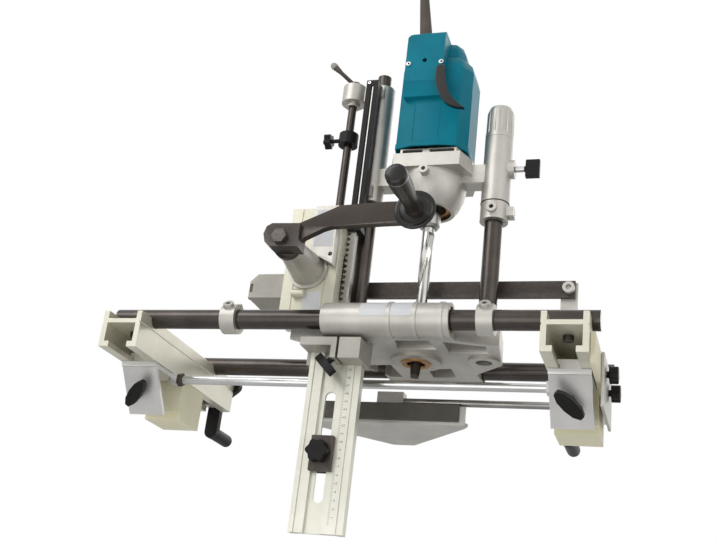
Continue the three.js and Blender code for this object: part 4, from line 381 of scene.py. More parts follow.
    def material(self, finish: Finish) -> bpy.types.Material:
        """Builds a finish's material the first time, and takes it off the shelf after that.

        Args:
            finish: the finish.

        Returns:
            Its material.
        """
        if finish.name in self.shelf:
            return self.shelf[finish.name]
        material = bpy.data.materials.new(finish.name)
        material.use_nodes = True
        tree = material.node_tree
        shader = tree.nodes["Principled BSDF"]
        shader.inputs["Metallic"].default_value = finish.metallic
        shader.inputs["Specular IOR Level"].default_value = finish.specular
        shader.inputs["Coat Weight"].default_value = finish.coat
        shader.inputs["Coat Roughness"].default_value = self.COAT_ROUGHNESS
        grain = self._place_group(
            tree, self.grain, Stretch=finish.grain.value, Scale=1.0 / finish.grain_size,
        )
        drift = self._place_group(tree, self.drift, Scale=self.PATCH_SCALE)
        colour = self._mix(tree, drift.outputs["Mask"], finish.colour, finish.shade)
        if finish.wear > 0.0:
            wear = self._place_group(tree, self.wear, Amount=finish.wear * self.WEAR_GAIN)
            colour = self._mix(tree, wear.outputs["Mask"], colour, finish.wear_colour)
        tree.links.new(colour, shader.inputs["Base Color"])
        gloss = tree.nodes.new("ShaderNodeMapRange")
        smoothest = max(self.LOWEST_ROUGHNESS, finish.roughness - finish.spread)
        gloss.inputs["To Min"].default_value = smoothest
        gloss.inputs["To Max"].default_value = finish.roughness + finish.spread
        tree.links.new(grain.outputs["Mask"], gloss.inputs["Value"])
        tree.links.new(gloss.outputs["Result"], shader.inputs["Roughness"])
        bump = tree.nodes.new("ShaderNodeBump")
        bump.inputs["Strength"].default_value = self.BUMP_STRENGTH
        bump.inputs["Distance"].default_value = finish.grain_depth
        tree.links.new(grain.outputs["Height"], bump.inputs["Height"])
        tree.links.new(bump.outputs["Normal"], shader.inputs["Normal"])
        self.shelf[finish.name] = material
        return material


@dataclass(frozen=True)
class Coat:
    """How some frame solids are dressed alike.

    Args:
        nodes: the solids' names.
        finish: their finish.
        edge: width of their softened edges, or 0 for none.
        steps: segments of those edges.
    """

    nodes: tuple[str, ...]
    finish: Finish
    edge: float = 0.6 * MM
    steps: int = 2


class Bench:
    """Makes pieces: frame solids carried over, and new ones from bmesh operators."""

    SOCKET_RADIUS = 0.52
    SOCKET_DEPTH = 0.45
    # The socket's floor and fit size the near-black disc of painted shade inside each screw socket.
    SOCKET_FLOOR = (0.46, 0.5)
    SOCKET_FIT = 0.98
    HEAD_TOP_RADIUS = 0.9
    HEAD_SIDE_HEIGHT = 0.86
    HEAD_STEPS = 32
    SOCKET_STEPS = 24

    def __init__(self, shop: MaterialShop) -> None:
        """Notes which body holds each frame solid.

        Args:
            shop: where the finishes are made.
        """
        self.shop = shop
        self.body_of: dict[str, str] = {
            node: body
            for body, nodes in frame["record"]["behaviour"]["bodies"].items()
            for node in nodes
        }
        self.made: list[str] = []

    def _object(self, name: str, mesh: bpy.types.Mesh, finish: Finish) -> bpy.types.Object:
        """Links a mesh into the scene as one finished object.

        Args:
            name: the object's name.
            mesh: its mesh.
            finish: its finish.

        Returns:
            The object.
        """
        mesh.materials.clear()
        mesh.materials.append(self.shop.material(finish))
        piece = bpy.data.objects.new(name, mesh)
        bpy.context.scene.collection.objects.link(piece)
        self.made.append(name)
        return piece

    def dress(self, coats: Iterable[Coat]) -> None:
        """Carries the solids of some coats over, in their order.

        Args:
            coats: the coats.
        """
        for coat in coats:
            for node in coat.nodes:
                self.carry(node, coat)

    def carry(self, node: str, coat: Coat) -> None:
        """Carries a frame solid over as a merged copy with softened edges.

        Args:
            node: the frame solid's name.
            coat: its finish and its softened edges.
        """
        shape = bmesh.new()
        shape.from_mesh(frame["nodes"][node].data)
        bmesh.ops.remove_doubles(shape, verts=shape.verts, dist=MERGE_DISTANCE)
        bmesh.ops.dissolve_limit(
            shape, angle_limit=math.radians(FLAT_ANGLE), verts=shape.verts, edges=shape.edges,
            use_dissolve_boundaries=False,
        )
        piece = self.add(
            f"{node}_dressed", shape, coat.finish, self.body_of[node], edge=coat.edge, steps=coat.steps,
        )
        self.stands_for(piece, node)

    @staticmethod
    def stands_for(piece: bpy.types.Object, node: str) -> None:
        """Hides the frame solid that a piece stands for.

        Args:
            piece: not used.
            node: the frame solid's name.
        """
        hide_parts(node)

    def add(
        self, name: str, shape: bmesh.types.BMesh, finish: Finish, body: str,
        edge: float = 0.0, steps: int = 2, sharp: float = SHARP_ANGLE,
    ) -> bpy.types.Object:
        """Turns a bmesh into a piece that rides on a body.

        Args:
            name: the piece's name.
            shape: the bmesh, which is freed.
            finish: its finish.
            body: the body that it rides on.
            edge: width of a bevel on its sharp edges, or 0 for none.
            steps: the bevel's segments.
            sharp: the angle, in degrees, past which an edge is sharp.

        Returns:
            The piece.
        """
        mesh = bpy.data.meshes.new(name)
        shape.to_mesh(mesh)
        shape.free()
        mesh.polygons.foreach_set("use_smooth", [True] * len(mesh.polygons))
        mesh.set_sharp_from_angle(angle=math.radians(sharp))
        piece = self._object(name, mesh, finish)
        if edge > 0.0:
            bevel = piece.modifiers.new("soft_edges", "BEVEL")
            bevel.width = edge
            bevel.segments = steps
            bevel.limit_method = "ANGLE"
            bevel.angle_limit = math.radians(sharp)
            bevel.harden_normals = True
            bevel.use_clamp_overlap = True
        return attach(piece, body)

    @staticmethod
    def turned(profile: Profile, origin: Point, axis: Axis, steps: int) -> bmesh.types.BMesh:
        """Spins a profile about an axis.

        Args:
            profile: pairs of radius and distance along the axis, from end to end of a closed line.
            origin: a point on the axis.
            axis: the axis.
            steps: steps in the full turn.

        Returns:
            The closed shape.
        """
        shape = bmesh.new()
        points = [shape.verts.new((radius, 0.0, height)) for radius, height in profile]
        edges = [shape.edges.new(pair) for pair in zip(points, points[1:] + points[:1])]
        on_axis = [edge for edge in edges if all(vert.co.x == 0.0 for vert in edge.verts)]
        bmesh.ops.delete(shape, geom=on_axis, context="EDGES")
        bmesh.ops.spin(
            shape, geom=shape.verts[:] + shape.edges[:], cent=ORIGIN, axis=UP,
            angle=math.tau, steps=steps, use_merge=True, use_duplicate=False,
        )
        bmesh.ops.remove_doubles(shape, verts=shape.verts, dist=SPIN_TOLERANCE)
        bmesh.ops.recalc_face_normals(shape, faces=shape.faces)
        bmesh.ops.transform(shape, matrix=facing(origin, axis.value), verts=shape.verts)
        return shape

    @classmethod
    def ring(
        cls, inner: float, outer: float, start: float, length: float, origin: Point, axis: Axis, steps: int,
    ) -> bmesh.types.BMesh:
        """Turns a plain ring.

        Args:
            inner: its bore's radius.
            outer: its own radius.
            start: where it begins along the axis.
            length: its length from there.
            origin: a point on the axis.
            axis: the axis.
            steps: steps in the full turn.

        Returns:
            The closed ring.
        """
        end = start + length
        return cls.turned([(inner, start), (outer, start), (outer, end), (inner, end)], origin, axis, steps)

    @staticmethod
    def plate(low: Point, high: Point) -> bmesh.types.BMesh:
        """A block between two corners, from a unit cube.

        Args:
            low: the lowest corner.
            high: the highest corner.

        Returns:
            The block.
        """
        shape = bmesh.new()
        bmesh.ops.create_cube(shape, size=1.0)
        size = Vector(high) - Vector(low)
        middle = (Vector(high) + Vector(low)) / 2.0
        bmesh.ops.scale(shape, vec=size, verts=shape.verts)
        bmesh.ops.translate(shape, vec=middle, verts=shape.verts)
        return shape

    @staticmethod
    def together(shapes: Iterable[bmesh.types.BMesh]) -> bmesh.types.BMesh:
        """Gathers several shapes in one, and frees them.

        Args:
            shapes: the shapes.

        Returns:
            The one shape.
        """
        whole = bmesh.new()
        for shape in shapes:
            part = bpy.data.meshes.new("part")
            shape.to_mesh(part)
            shape.free()
            whole.from_mesh(part)
            bpy.data.meshes.remove(part)
        return whole

    @staticmethod
    def moved(shape: bmesh.types.BMesh, matrix: Matrix) -> bmesh.types.BMesh:
        """Moves a whole shape by a matrix."""
        bmesh.ops.transform(shape, matrix=matrix, verts=shape.verts)
        return shape

    def socket_screw(
        self, radius: float, height: float, place: Matrix,
    ) -> tuple[bmesh.types.BMesh, bmesh.types.BMesh]:
        """A cap screw's head and a near-black disc inside its socket, along the place's own Z; the disc is
        painted shade in the recess.

        Args:
            radius: the head's radius.
            height: the head's height above its seat.
            place: where the seat is, with Z pointing out.

        Returns:
            The head, and the socket's near-black disc of painted shade.
        """
        inner = radius * self.SOCKET_RADIUS
        depth = height * self.SOCKET_DEPTH
        head = self.turned([
            (inner, depth), (inner, height), (radius * self.HEAD_TOP_RADIUS, height),
            (radius, height * self.HEAD_SIDE_HEIGHT), (radius, 0.0), (0.0, 0.0), (0.0, depth),
        ], ORIGIN, Axis.Z, self.HEAD_STEPS)
        filled = inner * self.SOCKET_FIT
        under, over = (height * share for share in self.SOCKET_FLOOR)
        # The dark disc near the socket's bottom is painted shade: it stands in for the shade in the recess.
        floor = self.turned(
            [(0.0, under), (filled, under), (filled, over), (0.0, over)],
            ORIGIN, Axis.Z, self.SOCKET_STEPS,
        )
        return self.moved(head, place), self.moved(floor, place)


def facing(origin: Point, towards: Vector) -> Matrix:
    """A place whose own Z points in a given direction.

    Args:
        origin: the place.
        towards: the direction.

    Returns:
        The place's matrix.
    """
    turn = Vector(UP).rotation_difference(towards).to_matrix().to_4x4()
    return Matrix.Translation(origin) @ turn


def bar_centre() -> tuple[float, float]:
    """Where the front guide bar's axis lies.

    Returns:
        Its Y and its Z.
    """
    low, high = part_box("front_bar")
    return (low.y + high.y) / 2.0, high.z - (high.y - low.y) / 2.0


@dataclass
class ClampFrame:
    """The rails, bars, stops, strip and side plates."""

    bench: Bench
    coats: tuple[Coat, ...] = (
        Coat(("left_rail", "right_rail"), Finishes.EXTRUSION_Y, 0.5 * MM),
        Coat(("front_bar", "rear_bar"), Finishes.BAR, 0.8 * MM, 3),
        Coat(("x_stop_left", "x_stop_right"), Finishes.CASTING, 0.9 * MM, 3),
        Coat(("feed_strip",), Finishes.LEVER, 0.5 * MM),
        Coat(("strip_bracket",), Finishes.CASTING, 0.8 * MM),
        Coat(("right_side_plate",), Finishes.CREAM, 0.8 * MM),
        Coat(("right_outer_plate",), Finishes.CASTING, 0.6 * MM),
        Coat(("side_knob_front", "side_knob_rear"), Finishes.MOULDED, 1.6 * MM, 3),
    )
    stops: tuple[str, ...] = ("x_stop_left", "x_stop_right")
    boss_lean: float = 50.0
    screw_seat: float = 18.6 * MM
    screw_radius: float = 2.8 * MM
    screw_height: float = 2.0 * MM

    def build(self) -> None:
        """Carries the fixed frame over."""
        self.bench.dress(self.coats)
        self._stop_screws()

    def _stop_screws(self) -> None:
        """Puts a socket screw in each bar stop's boss."""
        lean = math.radians(self.boss_lean)
        out = Vector((0.0, -math.sin(lean), math.cos(lean)))
        centre_y, centre_z = bar_centre()
        for node in self.stops:
            low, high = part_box(node)
            seat = Vector(((low.x + high.x) / 2.0, centre_y, centre_z)) + out * self.screw_seat
            place = facing(tuple(seat), out)
            head, floor = self.bench.socket_screw(self.screw_radius, self.screw_height, place)
            self.bench.add(f"{node}_screw", head, Finishes.LEVER, node)
            # Each screw's socket gets a near-black disc of painted shade.
            self.bench.add(f"{node}_socket", floor, Finishes.SHADOW_GAP, node)


@dataclass
class Jaws:
    """Front jaws, rear jaws, cranks and the steady foot."""

    bench: Bench
    coats: tuple[Coat, ...] = (
        Coat(("left_jaw_bracket", "right_jaw_bracket"), Finishes.JAW_PLATE, 0.8 * MM),
        Coat(("jaw_tie_rod",), Finishes.CHROME_X),
        Coat(("left_jaw_wing", "right_jaw_wing"), Finishes.MOULDED, 2.4 * MM, 4),
        Coat(("left_jaw_block", "right_jaw_block"), Finishes.CREAM, 1.0 * MM),
        Coat(("left_crank", "right_crank"), Finishes.MOULDED, 2.0 * MM, 4),
        Coat(("left_crank_grip", "right_crank_grip"), Finishes.MOULDED, 1.2 * MM, 3),
        Coat(("steady_rod",), Finishes.GREY_ROD),
        Coat(("steady_foot",), Finishes.CASTING, 0.9 * MM),
        Coat(("steady_pad",), Finishes.PAD, 0.8 * MM),
    )
    nut_gap: float = 0.05 * MM
    nut_bore: float = 5.0 * MM
    nut_radius: float = 9.5 * MM
    nut_length: float = 6.0 * MM
    nut_sides: int = 6
    nut_edge: float = 0.5 * MM
    nut_sharp: float = 25.0

    def build(self) -> None:
        """Carries the jaws over."""
        self.bench.dress(self.coats)
        self._tie_nut()

    def _tie_nut(self) -> None:
        """Turns the dark six-sided nut that locks the tie rod at its left jaw."""
        rod_low, rod_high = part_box("jaw_tie_rod")
        _, jaw_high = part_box("left_jaw_bracket")
        start = jaw_high.x + self.nut_gap
        middle = (0.0, (rod_low.y + rod_high.y) / 2.0, (rod_low.z + rod_high.z) / 2.0)
        nut = self.bench.ring(
            self.nut_bore, self.nut_radius, start, self.nut_length, middle, Axis.X, self.nut_sides,
        )
        self.bench.add(
            "tie_rod_nut", nut, Finishes.LEVER, "front_jaws", self.nut_edge, sharp=self.nut_sharp,
        )


@dataclass
class Carriage:
    """The sliding casting with its columns, gear case, pedestal and feed block."""

    bench: Bench
    coats: tuple[Coat, ...] = (
        Coat(("base_casting",), Finishes.CASTING, 0.9 * MM, 3),
        Coat(("front_bush", "rear_bush"), Finishes.BRONZE, 0.0),
        Coat(("left_column", "right_column"), Finishes.COLUMN, 0.8 * MM, 3),
        Coat(("gear_case",), Finishes.GEAR_CASE),
        Coat(("pedestal",), Finishes.CASTING, 0.9 * MM, 3),
        # The feed block and rail holder wear the darker copy of the casting, as painted shade.
        Coat(("feed_block",), Finishes.SHADE_PAINTED_CASTING, 0.9 * MM),
        Coat(("rail_holder",), Finishes.SHADE_PAINTED_CASTING, 0.8 * MM),
        Coat(("holder_wing",), Finishes.MOULDED, 2.4 * MM, 4),
    )
    bush_wall: float = 8.0 * MM
    bush_chamfer: float = 1.5 * MM
    bush_steps: int = 96

    def build(self) -> None:
        """Carries the carriage over."""
        self.bench.dress(self.coats)
        self._guide_bush()

    def _guide_bush(self) -> None:
        """Turns the bush about the cutter, with its chamfered mouth."""
        low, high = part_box("guide_bush")
        outer = (high.x - low.x) / 2.0
        inner = outer - self.bush_wall
        chamfer = self.bush_chamfer
        shape = self.bench.turned([
            (inner, low.z + chamfer), (inner + chamfer, low.z), (outer - chamfer, low.z),
            (outer, low.z + chamfer), (outer, high.z), (inner, high.z),
        ], ORIGIN, Axis.Z, self.bush_steps)
        piece = self.bench.add("guide_bush_turned", shape, Finishes.BRONZE, "carriage")
        self.bench.stands_for(piece, "guide_bush")


@dataclass
class Gauge:
    """The upright gauge rail, with its scale, slot clamp and knob."""

    bench: Bench
    coats: tuple[Coat, ...] = (
        Coat(("gauge_rail",), Finishes.EXTRUSION_Z, 0.5 * MM),
        Coat(("slot_clamp",), Finishes.LEVER, 0.8 * MM),
        Coat(("slot_knob",), Finishes.MOULDED, 1.8 * MM, 4),
    )
    scale_width: float = 9.5 * MM
    scale_inset: float = 11.0 * MM
    scale_thickness: float = 0.2 * MM
    scale_edge: float = 0.05 * MM
    first: float = -196.0 * MM
    last: float = 66.0 * MM
    step: float = 2.0 * MM
    long_every: int = 5
    tick_half: float = 0.16 * MM
    tick_reach: tuple[float, float] = (0.26, 0.46)
    tick_front: float = 1.4
    tick_back: float = 0.5
    number_inset: float = 3.6 * MM
    number_size: float = 4.2 * MM
    number_depth: float = 0.06 * MM
    number_smoothness: int = 2

    def build(self) -> None:
        """Carries the rail over and draws its scale."""
        self.bench.dress(self.coats)
        self._scale()

    def _scale(self) -> None:
        """Lays a pale strip with ticks and plain numbers beside the slot."""
        low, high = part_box("gauge_rail")
        right = high.x - self.scale_inset
        left = right - self.scale_width
        face = low.y
        strip = self.bench.plate((left, face - self.scale_thickness, self.first), (right, face, self.last))
        self.bench.add("gauge_scale", strip, Finishes.EXTRUSION_Z, "gauge", self.scale_edge)
        ticks, numbers = [], []
        front = face - self.scale_thickness * self.tick_front
        back = face - self.scale_thickness * self.tick_back
        for index in range(1, int((self.last - self.first) / self.step)):
            height = self.first + index * self.step
            is_long = index % self.long_every == 0
            reach = self.scale_width * self.tick_reach[is_long]
            ticks.append(self.bench.plate(
                (left, front, height - self.tick_half), (left + reach, back, height + self.tick_half),
            ))
            if is_long:
                place = (right - self.number_inset, face - self.scale_thickness, height)
                numbers.append(self._number(str(index // self.long_every), place))
        self.bench.add("gauge_ticks", self.bench.together(ticks), Finishes.INK, "gauge")
        self.bench.add("gauge_numbers", self.bench.together(numbers), Finishes.INK, "gauge")

    def _number(self, text: str, place: Point) -> bmesh.types.BMesh:
        """A small raised number that faces the operator.

        Args:
            text: the digits.
            place: its middle, on the strip.

        Returns:
            Its closed shape.
        """
        curve = bpy.data.curves.new("digits", "FONT")
        curve.body = text
        curve.size = self.number_size
        curve.extrude = self.number_depth
        curve.resolution_u = self.number_smoothness
        curve.align_x = "CENTER"
        curve.align_y = "CENTER"
        holder = bpy.data.objects.new("digits", curve)
        bpy.context.scene.collection.objects.link(holder)
        mesh = bpy.data.meshes.new_from_object(holder)
        shape = bmesh.new()
        shape.from_mesh(mesh)
        bmesh.ops.remove_doubles(shape, verts=shape.verts, dist=SPIN_TOLERANCE)
        turn = Matrix.Rotation(math.pi / 2.0, 4, "X")
        bmesh.ops.transform(shape, matrix=Matrix.Translation(place) @ turn, verts=shape.verts)
        bpy.data.objects.remove(holder)
        bpy.data.curves.remove(curve)
        bpy.data.meshes.remove(mesh)
        return shape


@dataclass
class PlungeLever:
    """The lever with its shaft, and the grip with its dished guard."""

    bench: Bench
    coats: tuple[Coat, ...] = (
        Coat(("lever_shaft",), Finishes.LEVER, 0.3 * MM),
        Coat(("lever_arm",), Finishes.LEVER, 1.6 * MM, 3),
    )
    bore: float = 5.3 * MM
    guard_radius: float = 25.8 * MM
    guard_depth: float = 9.0 * MM
    guard_outline: Profile = (
        (0.62, 0.0), (0.96, 1.8 * MM), (1.0, 3.4 * MM), (0.97, 4.8 * MM), (0.86, 5.6 * MM),
        (0.82, 5.2 * MM), (0.76, 5.4 * MM), (0.66, 8.4 * MM), (0.5, 9.0 * MM),
    )
    grip_outline: Profile = (
        (12.0 * MM, 0.0), (10.56 * MM, 0.05), (9.6 * MM, 0.10), (9.792 * MM, 0.22),
        (10.752 * MM, 0.40), (12.54 * MM, 0.60), (13.2 * MM, 0.78), (13.2 * MM, 0.90),
    )
    cap_share: float = 0.905
    end_radius: float = 13.2 * MM
    cap_outline: Profile = ((1.0, 4.0 * MM), (0.94, 1.6 * MM), (0.8, 0.4 * MM), (0.5, 0.0))
    ring_rise: float = 0.15 * MM
    ring_width: float = 0.9 * MM
    ring_seat: float = 1.0 * MM
    grip_edge: float = 0.4 * MM
    cap_edge: float = 0.3 * MM
    guard_steps: int = 96
    grip_steps: int = 72

    def build(self) -> None:
        """Carries the lever over and turns its grip."""
        self.bench.dress(self.coats)
        self._grip()

    def _grip(self) -> None:
        """Turns the guard, the grip, its end cap and its bright ring on the grip's axis."""
        low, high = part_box("lever_grip")
        origin = ((low.x + high.x) / 2.0, 0.0, (low.z + high.z) / 2.0)
        start, end = high.y, low.y
        guard_front = start - self.guard_depth
        outline = [(self.guard_radius * share, start - drop) for share, drop in self.guard_outline]
        guard = self.bench.turned(
            [(self.bore, start), *outline, (self.bore, guard_front)], origin, Axis.Y, self.guard_steps,
        )
        piece = self.bench.add("lever_guard", guard, Finishes.GLOSS_BLACK, "lever_grip", self.grip_edge)
        length = guard_front - end
        outline = [(radius, guard_front - share * length) for radius, share in self.grip_outline]
        grip = self.bench.turned(
            [(self.bore, guard_front), *outline, (self.bore, outline[-1][1])],
            origin, Axis.Y, self.grip_steps,
        )
        body = self.bench.add("lever_grip_body", grip, Finishes.GRIP, "lever_grip", self.grip_edge)
        cap_start = guard_front - self.cap_share * length
        cap = self.bench.turned([
            (0.0, cap_start), (self.end_radius, cap_start),
            *((self.end_radius * share, end + rise) for share, rise in self.cap_outline), (0.0, end),
        ], origin, Axis.Y, self.grip_steps)
        self.bench.add("lever_grip_cap", cap, Finishes.GLOSS_BLACK, "lever_grip", self.cap_edge)
        ring = self.bench.ring(
            self.end_radius - self.ring_seat, self.end_radius + self.ring_rise, cap_start, self.ring_width,
            origin, Axis.Y, self.grip_steps,
        )
        self.bench.add("lever_grip_ring", ring, Finishes.SCREW, "lever_grip")
        self.bench.stands_for(piece, "lever_grip")


@dataclass
class Motor:
    """The teal motor with its switch box, boot, spindle and cutter."""

    bench: Bench
    coats: tuple[Coat, ...] = (
        Coat(("motor_housing",), Finishes.TEAL, 1.4 * MM, 3),
        Coat(("switch_box",), Finishes.TEAL, 1.6 * MM, 3),
        Coat(("switch_lever",), Finishes.GLOSS_BLACK, 1.8 * MM, 4),
        Coat(("stator",), Finishes.IRON, 0.0),
        Coat(("lower_bearing",), Finishes.STEEL, 0.3 * MM),
        Coat(("spindle",), Finishes.STEEL),
    )
    flutes: int = 2
    tip_share: float = 0.2
    flute_share: float = 0.8
    tip_radius_share: float = 0.9
    flute_radius_share: float = 0.99
    flute_lead: float = 230.0 * MM
    flute_depth: float = 0.55
    flute_softness: float = 0.7
    flute_sharp: float = 50.0
    land_share: float = 0.1
    section_steps: int = 64
    ring_rise: float = 3.0 * MM
    fewest_rings: int = 4
    shank_share: float = 0.97
    shank_lead: float = 1.0 * MM
    shank_steps: int = 48
    boot_place: tuple[float, float] = (-20.0 * MM, -35.0 * MM)
    boot_bore: float = 4.9 * MM
    boot_outline: Profile = (
        (10.4 * MM, 0.0), (10.5 * MM, 0.04), (9.2 * MM, 0.055), (8.9 * MM, 0.2), (8.3 * MM, 0.4),
        (7.7 * MM, 0.6), (7.1 * MM, 0.8), (6.6 * MM, 0.96), (6.0 * MM, 1.0),
    )
    boot_lean: float = -7.0
    boot_steps: int = 48
    boot_split: float = 8.0 * MM
    boot_cuts: int = 3
    boot_edge: float = 0.4 * MM
    box_screws_x: tuple[float, float] = (-34.0 * MM, 12.5 * MM)
    box_screws_z: float = 444.5 * MM
    box_screw_radius: float = 3.3 * MM
    box_screw_height: float = 1.0 * MM
    box_screw_seat: float = 0.1 * MM
    rib_shares: tuple[float, float] = (-0.46, 0.26)
    rib_width: float = 1.1 * MM
    rib_rise: float = 0.5 * MM
    rib_drop: float = 22.0 * MM
    rib_edge: float = 0.3 * MM
    lip_height: float = 8.0 * MM
    lip_growth: float = 1.014
    lip_edge: float = 0.5 * MM

    def build(self) -> None:
        """Dresses the motor from the spindle up to the boot."""
        self.bench.dress(self.coats)
        self._cutter()
        self._boot()
        self._box_screws()
        self._housing_ribs()
        self._housing_lip()

    def _cutter(self) -> None:
        """Builds the cutter's dark tip, bright fluted length and plain shank."""
        low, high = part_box("mortising_bit")
        radius = (high.x - low.x) / 2.0 * self.flute_radius_share
        joint = low.z + (high.z - low.z) * self.tip_share
        shoulder = low.z + (high.z - low.z) * self.flute_share
        tip = self._fluted(radius * self.tip_radius_share, low.z, joint)
        self.bench.add("cutter_tip", tip, Finishes.LEVER, "spindle", sharp=self.flute_sharp)
        flutes = self._fluted(radius, joint, shoulder)
        piece = self.bench.add(
            "cutter_flutes", flutes, Finishes.CHROME_Z, "spindle", sharp=self.flute_sharp,
        )
        shank = self.bench.turned([
            (0.0, shoulder), (radius * self.shank_share, shoulder), (radius, shoulder + self.shank_lead),
            (radius, high.z), (0.0, high.z),
        ], ORIGIN, Axis.Z, self.shank_steps)
        self.bench.add("cutter_shank", shank, Finishes.CHROME_Z, "spindle")
        self.bench.stands_for(piece, "mortising_bit")

    def _fluted(self, radius: float, low: float, high: float) -> bmesh.types.BMesh:
        """Pushes a fluted section up and turns it a little with each ring.

        The outside is closed, but each ring's old cap stays inside as a stray face.

        Args:
            radius: the cutter's radius.
            low: height of its lower end.
            high: height of its upper end.

        Returns:
            The twisted length, with those caps in it.
        """
        shape = bmesh.new()
        bmesh.ops.create_circle(shape, cap_ends=True, segments=self.section_steps, radius=radius)
        for vert in shape.verts:
            turn = math.atan2(vert.co.y, vert.co.x)
            flute = max(0.0, math.cos(self.flutes * turn) - self.land_share) / (1.0 - self.land_share)
            vert.co *= 1.0 - self.flute_depth * flute ** self.flute_softness
        bmesh.ops.translate(shape, vec=(0.0, 0.0, low), verts=shape.verts)
        bmesh.ops.rotate(
            shape, cent=ORIGIN, matrix=Matrix.Rotation(self._twist(low), 3, "Z"), verts=shape.verts,
        )
        rings = max(self.fewest_rings, round((high - low) / self.ring_rise))
        rise = (high - low) / rings
        step = Matrix.Rotation(self._twist(low + rise) - self._twist(low), 3, "Z")
        top = shape.faces[:]
        for _ in range(rings):
            grown = bmesh.ops.extrude_face_region(shape, geom=top)["geom"]
            verts = [item for item in grown if isinstance(item, bmesh.types.BMVert)]
            top = [item for item in grown if isinstance(item, bmesh.types.BMFace)]
            bmesh.ops.translate(shape, vec=(0.0, 0.0, rise), verts=verts)
            bmesh.ops.rotate(shape, cent=ORIGIN, matrix=step, verts=verts)
        bmesh.ops.recalc_face_normals(shape, faces=shape.faces)
        return shape

    def _twist(self, height: float) -> float:
        """The flutes' angle at a height."""
        return math.tau * height / self.flute_lead

    def _boot(self) -> None:
        """Turns the cord's strain relief and leans it to one side."""
        low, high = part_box("cord_boot")
        length = high.z - low.z
        outer = [(radius, share * length) for radius, share in self.boot_outline]
        inner = [(self.boot_bore, length), (self.boot_bore, 0.0)]
        shape = self.bench.turned([*outer, *inner], (*self.boot_place, low.z), Axis.Z, self.boot_steps)
        tall = [
            edge for edge in shape.edges
            if abs(edge.verts[0].co.z - edge.verts[1].co.z) > self.boot_split
        ]
        bmesh.ops.subdivide_edges(shape, edges=tall, cuts=self.boot_cuts, use_grid_fill=True)
        lean = math.tan(math.radians(self.boot_lean))
        for vert in shape.verts:
            vert.co.x += lean * (vert.co.z - low.z)
        piece = self.bench.add("cord_boot_turned", shape, Finishes.BOOT, "head", self.boot_edge)
        self.bench.stands_for(piece, "cord_boot")

    def _housing_ribs(self) -> None:
        """Draws the two upright ridges where the housing's front facets meet."""
        low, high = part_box("motor_housing")
        middle, half = (low.x + high.x) / 2.0, (high.x - low.x) / 2.0
        box_low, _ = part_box("switch_box")
        bottom, top = low.z + self.lip_height, box_low.z + self.rib_drop
        ribs = []
        for share in self.rib_shares:
            left = middle + share * half - self.rib_width / 2.0
            ribs.append(self.bench.plate(
                (left, low.y - self.rib_rise, bottom), (left + self.rib_width, low.y + self.rib_rise, top),
            ))
        self.bench.add("housing_ribs", self.bench.together(ribs), Finishes.TEAL, "head", self.rib_edge)

    def _housing_lip(self) -> None:
        """Grows a low band out of the housing's own lower edge."""
        low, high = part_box("motor_housing")
        shape = bmesh.new()
        shape.from_mesh(frame["nodes"]["motor_housing"].data)
        bmesh.ops.remove_doubles(shape, verts=shape.verts, dist=MERGE_DISTANCE)
        cut = bmesh.ops.bisect_plane(
            shape, geom=shape.verts[:] + shape.edges[:] + shape.faces[:], dist=SPIN_TOLERANCE,
            plane_co=(0.0, 0.0, low.z + self.lip_height), plane_no=UP, clear_outer=True,
        )
        rims = [item for item in cut["geom_cut"] if isinstance(item, bmesh.types.BMEdge)]
        bmesh.ops.bridge_loops(shape, edges=rims)
        centre = Vector(((low.x + high.x) / 2.0, (low.y + high.y) / 2.0, 0.0))
        bmesh.ops.scale(
            shape, vec=(self.lip_growth, self.lip_growth, 1.0), space=Matrix.Translation(-centre),
            verts=shape.verts,
        )
        bmesh.ops.recalc_face_normals(shape, faces=shape.faces)
        self.bench.add("housing_lip", shape, Finishes.TEAL, "head", self.lip_edge)

    def _box_screws(self) -> None:
        """Sets two bright screws in the switch box's face."""
        low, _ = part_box("switch_box")
        heads, socket_shades = [], []
        for x in self.box_screws_x:
            place = facing((x, low.y + self.box_screw_seat, self.box_screws_z), -Axis.Y.value)
            head, floor = self.bench.socket_screw(self.box_screw_radius, self.box_screw_height, place)
            heads.append(head)
            socket_shades.append(floor)
        self.bench.add("box_screws", self.bench.together(heads), Finishes.SCREW, "head")
        # Each screw's socket gets a near-black disc of painted shade.
        self.bench.add("box_screw_socket_shades", self.bench.together(socket_shades), Finishes.SHADOW_GAP, "head")


